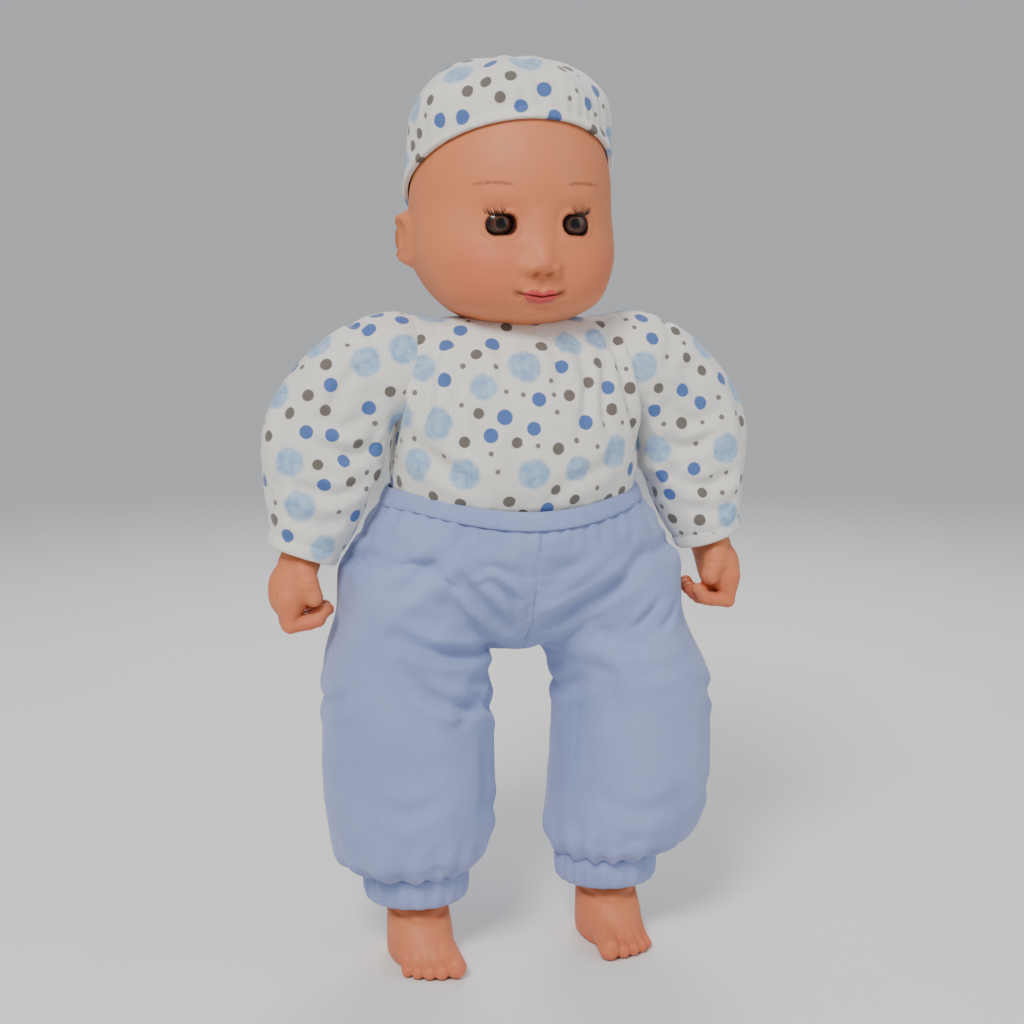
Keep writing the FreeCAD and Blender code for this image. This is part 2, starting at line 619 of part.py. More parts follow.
def makeHand():
    """Left vinyl hand: palm towards the thigh, thumb in front, fingers curled inwards."""
    palm = sectionLoft("palm", "palm")
    side, top = cell("wrist_side"), f"{cell('wrist_height')} + 11.6"
    stub = turned("wrist_stub", stubCorners("wrist", False, 16), x=side, z=top)
    digits = [rods([(84.8, -6.6, 162.0), (83.4, -9.2, 155.0), (80.9, -9.4, 149.0)], [4.4, 4.1, 3.4])]
    for number, back in enumerate((-7.4, -2.4, 2.7, 7.5)):
        size = (3.3, 3.4, 3.3, 2.9)[number]
        low = (139.4, 138.6, 139.2, 140.8)[number]
        tip = (77.2, 75.0, 75.4, 77.8)[number]
        path = [(91.0, back, 148.5), (90.0, back, low), (80.0, back, low + 0.4), (tip, back, low + 5.0)]
        digits.append(rods(path, [size + 0.5, size, size - 0.1, size - 0.4]))
    fingers = shaped("fingers_left", digits[0].fuse(digits[1:]))
    return fuse("hand_left", palm, stub, fingers)


def legForm(label, grow, bottom="0"):
    """A leg's outline with a round top about the hip's axis."""
    loft = sectionLoft(f"{label}_loft", "leg", grow=grow, bottom=bottom)
    radius = f"{cell('hip_radius')} + {grow}"
    round_top = ellipsoid(f"{label}_hip", (f"{cell('hip_length')} + {grow}", radius, radius), (0, 0, 0))
    bind(round_top, Placement__Base__x=cell("leg_side_1"), Placement__Base__z=cell("hip_height"))
    low = cell(f"leg_height_{len(LEG_SECTIONS) - 1}")
    below = box(f"{label}_below", 100, 90, f"{cell('hip_height')} - {low} + 1", 45, 0, f"{low} - 1")
    return common(f"{label}_form", loft, fuse(f"{label}_reach", round_top, below))


def makeLeg():
    """Left trouser leg, its fill, the gathered cuff and the tie in the ankle's groove."""
    cloth, gap = cell("cloth"), cell("cloth_gap")
    hollow = legForm("trouser_leg_inside", f"-{cloth}", f"-{OVERRUN}")
    leg = cut("trouser_leg_left", legForm("trouser_leg", "0"), hollow)
    fill_end = box("leg_fill_end", 100, 90, 10, 45, 0, f"{cell('leg_height_8')} - 8")
    fill = cut("leg_fill_left", legForm("leg_fill", f"-{cloth} - {gap}"), fill_end)
    inner = f"{cell('ankle_radius')} + {cell('fit_gap')}"
    corners = [(inner, 0), ("19.4", 0), ("21.0", 1.6), ("21.2", 6.0), ("20.4", 12.0), ("19.6", 12.1)]
    corners += [("19.6", 13.6), (inner, 13.6)]
    side, low = cell("ankle_side"), cell("hem_height")
    cuff = turned("ankle_cuff_left", corners, x=side, z=low)
    tie = tieRing("ankle_tie_left", "ankle", side, f"{low} + 12.8", False)
    return [leg, fill, cuff, tie]


def makeFoot():
    """Left vinyl foot with a flat sole and five toes."""
    foot = sectionLoft("foot_form", "foot")
    side, top = cell("ankle_side"), f"{cell('hem_height')} + 12.8"
    stub = turned("ankle_stub", stubCorners("ankle", False, 12), x=side, z=top)
    toes = []
    for number in range(5):
        size = 4.3 - 0.42 * number
        across = 32.4 + 4.05 * number - 0.08 * number**2
        front = -31.4 + 0.5 * number**1.6
        toes.append(rods([(across, front + 8, 7.4), (across, front, size + 0.5)], [size, size]))
    return fuse("foot_left", foot, stub, shaped("toes_left", toes[0].fuse(toes[1:])))


# ---------------------------------------------------------------- sound unit

UNIT_TURN = Rotation(Vector(1, 0, 0), 90)


def unitPiece(label, corners):
    """A turned piece of the sound unit; its own Z runs forwards from the back of the board."""
    return turned(label, corners, y=cell("board_depth"), z=cell("unit_height"), turn=UNIT_TURN)


def unitPlace(thing, x, up, forward):
    """Places a primitive of the sound unit: across, up and forwards from the board's back."""
    thing.Placement = Placement(Vector(), UNIT_TURN)
    bind(thing, Placement__Base__x=x, Placement__Base__y=f"{cell('board_depth')} - ({forward})")
    return bind(thing, Placement__Base__z=f"{cell('unit_height')} + ({up})")


def unitRod(label, radius, length, x, up, forward):
    rod = document.addObject("Part::Cylinder", label)
    bind(rod, Radius=radius, Height=length)
    return unitPlace(rod, x, up, forward)


def unitBox(label, width, height, thickness, x, up, forward):
    """A box centred across and up; it starts at forward and grows forwards."""
    block = document.addObject("Part::Box", label)
    bind(block, Length=width, Width=height, Height=thickness)
    return unitPlace(block, f"{x} - ({width}) / 2", f"{up} - ({height}) / 2", forward)


SCREW_PLACES = ((18.2, 3.0), (-18.2, 3.0))


def makeCase():
    """Two round shells, screwed together from behind."""
    radius, wall = cell("case_radius"), cell("case_wall")
    front, back = cell("case_front_depth"), cell("case_back_depth")
    hole = cell("button_hole_radius")
    inner = f"{radius} - {wall}"
    corners = [(inner, 0.1), (radius, 0.1), (radius, f"{front} - 2.5"), (f"{radius} - 2.5", front)]
    corners += [(hole, front), (hole, f"{front} - {wall}"), (f"{inner} - 1.5", f"{front} - {wall}")]
    corners += [(inner, f"{front} - {wall} - 1.5")]
    front_shell = unitPiece("case_front_shell", corners)
    posts, pilots = [], []
    for number, (x, up) in enumerate(SCREW_PLACES):
        posts.append(unitRod(f"front_post_{number}", 2.4, f"{front} - 1.4 - 1", x, up, 1.4))
        pilots.append(unitRod(f"front_pilot_{number}", cell("screw_radius"), 6, x, up, 1.3))
    made = [cut("sound_case_front", fuse("front_with_posts", front_shell, *posts), *pilots)]
    corners = [("0", f"-{back}"), (f"{radius} - 2.0", f"-{back}"), (radius, f"-{back} + 2.0"), (radius, 0)]
    corners += [(inner, 0), (inner, f"-{back} + {wall}"), ("0", f"-{back} + {wall}")]
    back_shell = unitPiece("case_back_shell", corners)
    posts, holes = [], []
    for number, (x, up) in enumerate(SCREW_PLACES):
        posts.append(unitRod(f"back_post_{number}", 2.4, f"{back} - 1.1", x, up, f"-{back} + 1"))
        holes.append(unitRod(f"back_hole_{number}", 1.2, 20, x, up, f"-{back} - 1"))
        holes.append(unitRod(f"back_sink_{number}", 2.1, 4, x, up, f"-{back} - 1"))
    speaker_up, down = cell("speaker_up"), cell("cells_down")
    holes += grilleSlots(speaker_up, back)
    holes.append(unitBox("door_opening", 22.4, 13.4, 6, 0, f"-{down}", f"-{back} - 1"))
    holes.append(unitRod("door_screw_hole", cell("screw_radius"), 8, 14.6, f"-{down}", f"-{back} - 1"))
    posts.append(unitRod("door_post", 2.2, 5.0, 14.6, f"-{down}", f"-{back} + 1"))
    made.append(cut("sound_case_back", fuse("back_with_posts", back_shell, *posts), *holes))
    return made


def grilleSlots(speaker_up, back):
    """Five upright slots in front of the loudspeaker; the outer ones are shorter."""
    slots = []
    for number in range(5):
        offset = (number - 2) * 3.0
        length = 2 * math.sqrt(7.4**2 - offset**2)
        slots.append(unitBox(f"grille_slot_{number}", 1.4, length, 6, offset, speaker_up, f"-{back} - 1"))
    return slots


def makeElectronics():
    """Board, switch, sound chip, speaker, button cells, contacts, battery door and screws."""
    thick, back, wall = cell("board_thickness"), cell("case_back_depth"), cell("case_wall")
    down, cells = cell("cells_down"), cell("cell_length")
    board = unitRod("board_disc", cell("board_radius"), thick, 0, 0, 0)
    notches = [unitRod(f"board_notch_{number}", 2.7, 4, x, up, -1) for number, (x, up) in enumerate(SCREW_PLACES)]
    made = [cut("circuit_board", board, *notches)]
    switch = unitBox("switch_body", 6, 6, 3.4, 0, 0, thick)
    stem = unitRod("switch_stem", 1.7, 4.2, 0, 0, thick)
    made.append(fuse("push_switch", switch, stem))
    drop = sphere("chip_drop", 4.4, "-10", f"{cell('board_depth')} + 1.9", f"{cell('unit_height')} + 9")
    room = unitBox("chip_height", 10, 10, 2.0, -10, 9, thick)
    made.append(common("sound_chip", drop, room))
    up, radius = cell("speaker_up"), cell("speaker_radius")
    corners = [("0", 0), (radius, 0), (radius, 1.6), (f"{radius} - 2.2", 2.2), ("6.4", 4.2), ("6.0", 4.2)]
    corners += [("6.0", 8.6), ("0", 8.6)]
    speaker = turned("speaker", corners, y=f"{cell('board_depth')} + {back} - {wall}",
                     z=f"{cell('unit_height')} + {up}", turn=UNIT_TURN)
    made.append(speaker)
    middle = f"{cell('board_depth')} + {cell('cell_middle')}"
    level = f"{cell('unit_height')} - {down}"
    stack = []
    for number in range(3):
        start = f"({number} - 1.5) * {cells} + 0.1"
        stack.append(cylinder(f"cell_{number}", cell("cell_radius"), f"{cells} - 0.2", start, middle, level, "x"))
    compound = document.addObject("Part::Compound", "button_cells")
    compound.Links = stack
    made.append(compound)
    plates = []
    for side in (1, -1):
        x = f"{side} * (1.5 * {cells} + 0.9)"
        plates.append(unitBox(f"contact_{side + 1}", 0.4, 9.0, 9.6, x, f"-{down}", "-11.4"))
        start = f"{x} - 0.2" if side < 0 else f"{x} - 0.2 - 0.7"
        plates.append(cylinder(f"contact_dimple_{side + 1}", 1.6, 1.0, start, middle, level, "x"))
    pair = document.addObject("Part::Compound", "battery_contacts")
    pair.Links = [fuse("contact_left", *plates[:2]), fuse("contact_right", *plates[2:])]
    made.append(pair)
    lid = unitBox("door_lid", 22, 13, 1.4, 0, f"-{down}", f"-{back}")
    ear = unitBox("door_ear", 7.6, 6, 1.3, 13.4, f"-{down}", f"-{back} - 1.3")
    ledge = unitBox("door_ledge", 22, 9, 1.3, 0, f"-{down}", f"-{back} - 1.3")
    ear_hole = unitRod("door_ear_hole", 1.2, 8, 14.6, f"-{down}", f"-{back} - 4")
    made.append(cut("battery_door", fuse("door_plate", lid, ear, ledge), ear_hole))
    made.append(screw("battery_door_screw", [(14.6, f"-{down}")], f"-{back} - 1.35", 4.6))
    made.append(screw("case_screws", SCREW_PLACES, f"-{back} + 3.0", 16.2))
    return made


def screw(label, places, seat, length):
    """Pan-head screws: the head's underside lies at seat, and the shaft runs forwards from it."""
    head_radius, radius = cell("screw_head_radius"), cell("screw_radius")
    screws = []
    for number, (x, up) in enumerate(places):
        head = unitRod(f"{label}_head_{number}", head_radius, 1.2, x, up, f"{seat} - 1.2")
        shaft = unitRod(f"{label}_shaft_{number}", radius, length, x, up, seat)
        screws.append(fuse(f"{label}_{number}", head, shaft))
    if len(screws) == 1:
        return named(screws[0], label)
    group = document.addObject("Part::Compound", label)
    group.Links = screws
    return group


def makeButton():
    """Domed press button with a retaining flange and a plunger over the switch."""
    front, wall = cell("case_front_depth"), cell("case_wall")
    radius, flange = cell("button_radius"), cell("button_flange_radius")
    rise = cell("button_rise")
    under = f"{front} - {wall} - 0.2"
    corners = [("0", 8.2), ("2.0", 8.2), ("2.0", f"{front} - 1.0"), (f"{radius} - 1.6", f"{front} - 1.0")]
    corners += [(f"{radius} - 1.6", f"{under} - 1.4"), (flange, f"{under} - 1.4"), (flange, under)]
    corners += [(radius, under), (radius, f"{front} + 1.4"), (f"{radius} - 1.0", f"{front} + 2.2")]
    corners += [(f"{radius} - 4.4", f"{front} + 3.1"), ("0", f"{front} + {rise}")]
    return unitPiece("press_button", corners)


def springShape(radius, wire, start, length, turns):
    """A coil spring as a ruled solid through six-sided sections along a helix."""
    steps = 10 * turns
    sections = []
    for number in range(steps + 1):
        angle = 2 * math.pi * number / 10
        ends = min(number, steps - number, 5) / 5
        share = number / steps
        height = start + wire + (length - 2 * wire) * (share * ends + (1 - ends) * round(share))
        corners = []
        for corner in range(7):
            turn = math.pi / 3 * corner
            out = radius + wire * math.cos(turn)
            corners.append(Vector(out * math.cos(angle), out * math.sin(angle), height + wire * math.sin(turn)))
        sections.append(Part.makePolygon(corners))
    return Part.makeLoft(sections, True, True)


def makeSpring():
    top = value(f"{cell('case_front_depth')} - 1.1")
    bottom = value(f"{cell('board_thickness')} + 0.1")
    place = Placement(Vector(0, value(cell("board_depth")), value(cell("unit_height"))), UNIT_TURN)
    return shaped("button_spring", springShape(5.6, 0.4, bottom, top - bottom, 4), place)


# ---------------------------------------------------------------- assembly


def makeDoll():
    pieces = [makeHead()] + makeEye(1, "left") + makeEye(-1, "right") + makeCap()
    pieces += makeTorso() + makeSeat()
    pieces += makeCase() + makeElectronics() + [makeButton(), makeSpring()]
    for piece in makeArm() + [makeHand()] + makeLeg() + [makeFoot()]:
        pieces.append(piece)
        pieces.append(mirrored(piece, piece.Label.replace("left", "right")))
    return pieces


def checkAndWrite(pieces):
    """Stops on any failed object or bad shape, then writes one file for each piece."""
    document.recompute()
    for thing in document.Objects:
        if {"Invalid", "Error"} & set(thing.State):
            raise RuntimeError(f"{thing.Label} did not compute: {thing.State}")
        if thing.TypeId == "Part::Cut" and thing.Shape.Volume > 0.9999 * thing.Base.Shape.Volume:
            raise RuntimeError(f"{thing.Label} takes nothing away")
    os.makedirs("parts", exist_ok=True)
    for piece in pieces:
        shape = piece.Shape
        if shape.isNull() or not shape.isValid() or not shape.Solids:
            raise RuntimeError(f"{piece.Label} has no valid solid")
        if len(shape.Solids) == 1:
            shape = shape.Solids[0]
        shape.exportStep(f"parts/{piece.Label}.step")
        box_of = shape.BoundBox
        print(f"{piece.Label}: {len(piece.Shape.Solids)} solid(s), {shape.Volume:.0f} mm3, "
              f"{box_of.XLength:.1f} x {box_of.YLength:.1f} x {box_of.ZLength:.1f}")


fillSheet()
checkAndWrite(makeDoll())
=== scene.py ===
import math
from functools import reduce

import bmesh
import bpy
import numpy as np
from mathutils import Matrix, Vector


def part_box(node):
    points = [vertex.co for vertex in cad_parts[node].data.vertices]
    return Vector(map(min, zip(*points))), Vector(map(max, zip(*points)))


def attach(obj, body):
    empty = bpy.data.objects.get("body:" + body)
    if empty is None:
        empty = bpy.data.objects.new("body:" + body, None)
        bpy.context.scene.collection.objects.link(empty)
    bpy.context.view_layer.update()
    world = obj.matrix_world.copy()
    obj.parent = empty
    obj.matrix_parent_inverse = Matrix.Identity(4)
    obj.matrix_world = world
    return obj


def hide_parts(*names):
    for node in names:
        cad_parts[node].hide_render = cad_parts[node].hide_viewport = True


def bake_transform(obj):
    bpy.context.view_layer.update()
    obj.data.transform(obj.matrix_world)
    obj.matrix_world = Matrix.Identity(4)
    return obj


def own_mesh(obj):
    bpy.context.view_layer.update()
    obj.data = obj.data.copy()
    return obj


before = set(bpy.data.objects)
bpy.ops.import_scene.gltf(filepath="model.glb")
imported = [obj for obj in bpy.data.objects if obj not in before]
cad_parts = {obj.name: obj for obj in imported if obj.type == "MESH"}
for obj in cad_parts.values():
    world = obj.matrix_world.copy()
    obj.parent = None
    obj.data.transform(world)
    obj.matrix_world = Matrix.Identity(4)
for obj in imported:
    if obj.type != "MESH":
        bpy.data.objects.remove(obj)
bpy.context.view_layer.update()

import openvdb
from mathutils import Vector

mm = 0.001  # shapes are worked out in millimetres and scaled to metres as they are made
pi = math.pi
sides = ((1, "left"), (-1, "right"))  # the doll's own left is towards +X


def ease(low, high, x):  # 0 below low, 1 above high, smooth between
    t = np.clip((x - low) / (high - low), 0, 1)
    return t * t * (3 - 2 * t)


def bell(x, middle, width):  # 1 at the middle, falling away like a gaussian
    return np.exp(-(((x - middle) / width) ** 2))


def mound(x, z, middleX, middleZ, wide, tall):  # a bell in two directions
    return bell(x, middleX, wide) * bell(z, middleZ, tall)


def circle(count):  # angles all the way round, without the last, which is the first again
    return np.linspace(0, 2 * pi, count + 1)[:-1]


def together(*measures):  # points from their x, y and z, each given for all, for a row or for one
    return np.stack(np.broadcast_arrays(*measures), axis=-1)


def rounded(wave, power):  # squarer than the plain sine or cosine where the power is below 1
    return np.sign(wave) * np.abs(wave) ** power


def unit(vectors):
    return vectors / np.maximum(np.linalg.norm(vectors, axis=-1, keepdims=True), 1e-9)


def lengthAlong(line):  # how far along its chords each point of a line lies
    return np.concatenate([[0], np.cumsum(np.linalg.norm(np.diff(line, axis=0), axis=1))])


def through(stations, at):  # smooth curve through the stations, at from 0 to 1 along their chord
    rows = np.array(stations, float)
    knots = lengthAlong(rows)
    knots /= knots[-1]
    slope = np.gradient(rows, knots, axis=0)
    k = np.clip(np.searchsorted(knots, at, side="right") - 1, 0, len(knots) - 2)
    span = (knots[k + 1] - knots[k])[:, None]
    t = (at - knots[k])[:, None] / span
    pull = (t**3 - 2 * t**2 + t) * span * slope[k] + (t**3 - t**2) * span * slope[k + 1]
    return (2 * t**3 - 3 * t**2 + 1) * rows[k] + (3 * t**2 - 2 * t**3) * rows[k + 1] + pull


def spreadBy(weight, count):  # count values from 0 to 1, closer together where the weight is high
    total = np.concatenate([[0], np.cumsum((weight[1:] + weight[:-1]) / 2)])
    return np.interp(np.linspace(0, 1, count), total / total[-1], np.linspace(0, 1, len(weight)))


def linked(name, data):  # a new object in the scene
    made = bpy.data.objects.new(name, data)
    bpy.context.scene.collection.objects.link(made)
    return made


def meshPiece(name, points, faces, finish=None):
    mesh = bpy.data.meshes.new(name)
    mesh.from_pydata((points * mm).tolist(), [], faces)
    mesh.shade_smooth()
    if finish:
        mesh.materials.append(finish)
    return linked(name, mesh)


def cellsOf(grid):  # the four corners of each cell of a grid of point numbers
    corners = grid[..., :-1, :-1], grid[..., :-1, 1:], grid[..., 1:, 1:], grid[..., 1:, :-1]
    return np.stack(corners, axis=-1).reshape(-1, 4)


def wrapped(grid):  # the first column again after the last
    return np.concatenate([grid, grid[..., :1]], axis=-1)


def gridPiece(name, points, finish=None, caps=(True, True), mapped=None):
    # A grid of rows and columns as a surface, its last column joined to its first. A cap is a fan to the
    # middle of the first or last row, and mapped holds its UV in rows and one more column.
    rows, columns = points.shape[:2]
    grid = np.arange(rows * columns).reshape(rows, columns)
    cells, spots = cellsOf(wrapped(grid)), points.reshape(-1, 3)
    inner = spots[cells].mean(axis=1) - spots.mean(axis=0)
    facing = np.cross(spots[cells[:, 2]] - spots[cells[:, 0]], spots[cells[:, 3]] - spots[cells[:, 1]])
    way = -1 if (facing * inner).sum() < 0 else 1
    faces = cells[:, ::way].tolist()
    for cap, row, turn in zip(caps, grid[[0, -1]], (way, -way)):
        if cap:
            spots = np.vstack([spots, spots[row].mean(axis=0)])
            fan = np.stack([np.roll(row, -1), row, np.full(columns, len(spots) - 1)], axis=-1)
            faces += fan[:, ::turn].tolist()
    piece = meshPiece(name, spots, faces, finish)
    if mapped is not None:
        corners = cellsOf(np.arange(rows * (columns + 1)).reshape(rows, columns + 1))[:, ::way]
        flat = np.zeros((len(piece.data.loops), 2))
        flat[:corners.size] = mapped.reshape(-1, 2)[corners.ravel()]
        layFlat(piece, flat)
    return piece


def layFlat(piece, flat):  # gives the piece its cloth's own lengthwise and crosswise measures
    piece.data.uv_layers.new(name="cloth").data.foreach_set("uv", flat.ravel())


def read(items, key, width=1, kind=float):  # one value, or one row of values, for each item
    values = np.empty(len(items) * width, kind)
    items.foreach_get(key, values)
    return values.reshape(-1, width) if width > 1 else values


def spotsOf(piece):  # a piece's points in millimetres
    return read(piece.data.vertices, "co", 3) / mm


def normalsOf(piece):
    return read(piece.data.vertices, "normal", 3)


def middlesOf(piece):  # the middle of each face in millimetres
    return read(piece.data.polygons, "center", 3) / mm


def moveSpots(piece, spots):
    piece.data.vertices.foreach_set("co", (spots * mm).ravel())
    piece.data.update()


def keepPlace(piece):  # stores where each point of the cloth lies at rest, which a material can read
    layer = piece.data.attributes.new("clothPlace", "FLOAT_VECTOR", "POINT")
    layer.data.foreach_set("vector", spotsOf(piece).ravel())


def applied(piece, kind, **settings):  # adds a modifier, sets it and applies it
    modifier = piece.modifiers.new(kind.lower(), kind)
    for key, value in settings.items():
        setattr(modifier, key, value)
    bpy.context.view_layer.objects.active = piece
    bpy.ops.object.modifier_apply(modifier=modifier.name)


def maths(operation, reflected=False):  # a method that adds one Math node
    def method(self, *others):
        values = (*others, self) if reflected else (self, *others)
        return self.finish.node("Math", {"operation": operation}, dict(enumerate(values)))
    return method


class Wire:
    # A socket's value in a material. Each operator adds the Math node that it names.
    def __init__(self, finish, socket):
        self.finish, self.socket = finish, socket

    __add__ = __radd__ = maths("ADD")
    __mul__ = __rmul__ = maths("MULTIPLY")
    __sub__, __rsub__ = maths("SUBTRACT"), maths("SUBTRACT", reflected=True)
    __truediv__, __pow__ = maths("DIVIDE"), maths("POWER")
    size, root, wave, most = maths("ABSOLUTE"), maths("SQRT"), maths("SINE"), maths("MAXIMUM")

    def fade(self, start, end):  # 0 at start, 1 at end, smooth between, and clamped
        settings = {"interpolation_type": "SMOOTHSTEP", "clamp": True}
        return self.finish.node("MapRange", settings, {0: self, 1: start, 2: end, 3: 0.0, 4: 1.0})


class Finish:
    # A material round one Principled shader, whose fixed sockets are set from the names given.
    def __init__(self, name, **fixed):
        self.material = bpy.data.materials.new(name)
        self.material.use_nodes = True
        self.tree = self.material.node_tree
        self.tree.nodes.clear()
        self.shader = self.tree.nodes.new("ShaderNodeBsdfPrincipled")
        output = self.tree.nodes.new("ShaderNodeOutputMaterial")
        self.tree.links.new(self.shader.outputs[0], output.inputs[0])
        for key, value in fixed.items():
            self.feed(key.replace("_", " "), value)

    def node(self, kind, settings={}, sockets={}, output=0):
        made = self.tree.nodes.new("ShaderNode" + kind)
        for key, value in settings.items():
            setattr(made, key, value)
        for key, value in sockets.items():
            self.put(made.inputs[key], value)
        return Wire(self, made.outputs[output])

    def put(self, socket, value):
        if isinstance(value, Wire):
            self.tree.links.new(value.socket, socket)
        else:
            socket.default_value = value

    def feed(self, socket, value):
        self.put(self.shader.inputs[socket], value)

    def vector(self, operation, first, second, output=0):
        return self.node("VectorMath", {"operation": operation}, {0: first, 1: second}, output)

    def stored(self, name, output=1):  # an attribute: 1 is its vector, 3 its alpha
        return self.node("Attribute", {"attribute_name": name}, output=output)

    def place(self):  # x, y and z of the object in millimetres
        whole = self.node("TexCoord", output=3)
        return self.node("VectorMath", {"operation": "SCALE"}, {0: whole, 3: 1 / mm})

    def parts(self, vector):
        made = self.node("SeparateXYZ", sockets={0: vector}).socket.node
        return [Wire(self, socket) for socket in made.outputs]

    def mix(self, share, first, second):
        return self.node("Mix", {"data_type": "RGBA"}, {0: share, 6: first, 7: second}, 2)

    def noise(self, vector, scale, detail=2.0, rough=0.5):
        sockets = {"Vector": vector, "Scale": scale, "Detail": detail, "Roughness": rough}
        return self.node("TexNoise", sockets=sockets)

    def made(self, colour, rough=None, height=None, depth=0.0):  # feeds the shader and gives the material
        self.feed("Base Color", colour)
        if rough is not None:
            self.feed("Roughness", rough)
        if height is not None:
            sockets = {"Height": height, "Distance": depth * mm, "Strength": 1.0}
            self.feed("Normal", self.node("Bump", sockets=sockets))
        return self.material


def paint(*screen):  # a colour from its screen values, 0 to 255
    values = [((v / 255 + 0.055) / 1.055) ** 2.4 if v > 10 else v / 255 / 12.92 for v in screen]
    return (*values, 1.0)


skinTones = {
    "vinyl": paint(208, 126, 84), "warm": paint(206, 116, 76), "blush": paint(204, 92, 68),
    "lips": paint(188, 62, 66), "mouthLineAndShade": paint(100, 36, 32), "brow": paint(136, 78, 46),
    "shadow": paint(118, 58, 36),
}


def vinylSkin(name, dress=None):
    # Soft matte vinyl: faint warm mottling, a fine moulded grain, and what dress paints on it.
    skin = Finish(name, Subsurface_Weight=0.12, Subsurface_Scale=0.004, IOR=1.38,
                  Subsurface_Radius=(1.0, 0.45, 0.3))
    place = skin.place()
    cloud = skin.noise(place, 0.035, 3.0)
    colour = skin.mix(cloud.fade(0.35, 0.75) * 0.5, skinTones["vinyl"], skinTones["warm"])
    rough = 0.5 + skin.noise(place, 0.4) * 0.1
    if dress:
        colour, rough = dress(skin, place, colour, rough)
    return skin.made(colour, rough, skin.noise(place, 1.6, 3.0, 0.6), 0.035)


headForm = {
    # height, half width, half depth, middle towards the back
    "stations": [(348.8, 0, 0, 3.4), (347.4, 9, 10.5, 3.3), (344, 17.5, 20, 3), (336.5, 26.8, 29.8, 2.4),
        (323, 34.2, 37.2, 2.2), (306, 38.6, 41.6, 2.2), (289, 39.4, 41.6, 2.3), (276, 38.3, 40, 0.8),
        (266.5, 33.8, 36.3, -2), (259.5, 27.2, 30, -5), (255, 20.5, 22.5, -5.6), (252.4, 15.8, 16.6, -3),
        (249, 14.4, 14.4, 0), (243, 14.4, 14.4, 0)],
    "rows": 236, "columns": 300,
    "faceLow": 253.0, "faceHigh": 312.0, "faceCloser": 2.4, "frontCloser": 2.6,
    "mouth": (263.7, 0.016, 0.25),  # height of the line between the lips, rise at its ends, dip in its middle
    "brow": (304.6, 17.5, 0.012),  # height, side of its top, bend
    "eye": (14.25, -28.2, 290.0), "eyeOpening": (5.3, 3.75), "eyeCorner": 3.35, "eyeLower": 0.5,
    "ear": (8.6, 284.8), "earSize": (7.0, 10.4), "earRise": 3.7,
    # relief of the face: rise, side and height of its middle, reach to the side and upwards
    "relief": [
        (2.2, 5.3, 273.6, 2.2, 2.1), (-1.1, 2.6, 271.3, 1.4, 0.9),  # wings of the nose, nostrils
        (0.35, 1.9, 269, 0.8, 1.8), (-0.55, 0, 269, 1.1, 2),  # ridges and groove above the lips
        (1.1, 0, 265.5, 9.5, 6), (-1, 0, 259.8, 6.5, 1.3), (2.4, 0, 256.4, 8, 3.6),  # muzzle, dip and chin
        (-1.5, 13.75, 291, 8.5, 6.5), (-0.9, 7.6, 290.5, 2.6, 4),  # eye sockets and their inner corners
        (0.55, 15.25, 299.6, 9, 3), (0.5, 14.25, 283.2, 6.5, 1.7),  # brow, and under the eye
        (1.2, 0, 313, 24, 13),  # forehead
    ],
    "cheek": (2.7, 20, 272, 12, 10.5), "temple": (-0.8, 33, 297, 9, 9), "jaw": (1.0, 24, 263, 10, 6),
}


def eyeEdge(x, z):  # distance outside the rounded opening between the lids, negative inside
    sideX, _, middleZ = headForm["eye"]
    halfX, halfZ = headForm["eyeOpening"]
    corner = headForm["eyeCorner"]
    # the outer corner sits a little lower and the lower lid is flatter
    across = np.abs(x) - sideX
    up = z - middleZ + headForm["eyeLower"] + 0.05 * across
    dx, dz = np.abs(across) - (halfX - corner), np.abs(up) - (halfZ - corner)
    return np.hypot(np.maximum(dx, 0), np.maximum(dz, 0)) + np.minimum(np.maximum(dx, dz), 0) - corner


def mouthHeight(x):  # the line between the lips: a slight smile with a soft dip in the middle
    height, smile, dip = headForm["mouth"]
    return height + smile * x**2 - dip * bell(x, 0, 1.6)


def faceForward(x, z):  # how far the face stands in front of the plain head
    side, line = np.abs(x), mouthHeight(x)
    noseRise = np.interp(z, [268.8, 270.2, 271.2, 272.2, 273.4, 275.0, 276.8, 279.0, 282, 286, 291, 296],
                         [0, 0.3, 1.3, 3.4, 5.2, 6.1, 5.9, 4.7, 3.1, 1.9, 1.0, 0])
    noseWide = np.interp(z, [270, 273, 276, 280, 285, 292], [5.6, 5.6, 5.4, 5.0, 5.6, 7.5])
    out = noseRise * bell(side, 0, noseWide)
    for rise, *form in headForm["relief"]:
        out += rise * mound(side, z, *form)
    inMouth = ease(7.3, 5.0, side)
    upper = 2.0 * np.sqrt(np.clip(1 - (side / 7.4) ** 2, 0, 1)) - 0.5 * bell(x, 0, 1.3)
    lower = 2.5 * np.sqrt(np.clip(1 - (side / 6.6) ** 2, 0, 1))
    out += 1.7 * inMouth * bell(z, line + 0.55 * upper, 0.55 * upper + 0.35)
    out += 2.1 * inMouth * bell(z, line - 0.55 * lower, 0.55 * lower + 0.4)
    out -= 1.25 * ease(9.4, 6.4, side) * bell(z, line, 0.42)
    out -= 0.9 * mound(side, z, 8.8, line, 1.5, 1.2)  # corners of the mouth
    creases = bell(side - 7.2 - (273 - z) * 0.42, 0, 1.6)  # from the nose down past the mouth
    return out - 0.25 * creases * ease(276, 272, z) * ease(261.5, 265, z)


def headSurface(rows, turns):  # the plain head: its stations' ellipses, with squarer cheeks
    z, wide, deep, back = through(headForm["stations"], rows).T[:, :, None]
    square = 1 - 0.10 * ease(300, 275, z) * ease(252, 262, z)
    angle = turns * 2 * pi  # from the back round by the doll's left side
    x = np.maximum(wide, 0) * rounded(np.sin(angle), square)
    y = back + np.maximum(deep, 0) * rounded(np.cos(angle), square)
    return together(x, y, z)


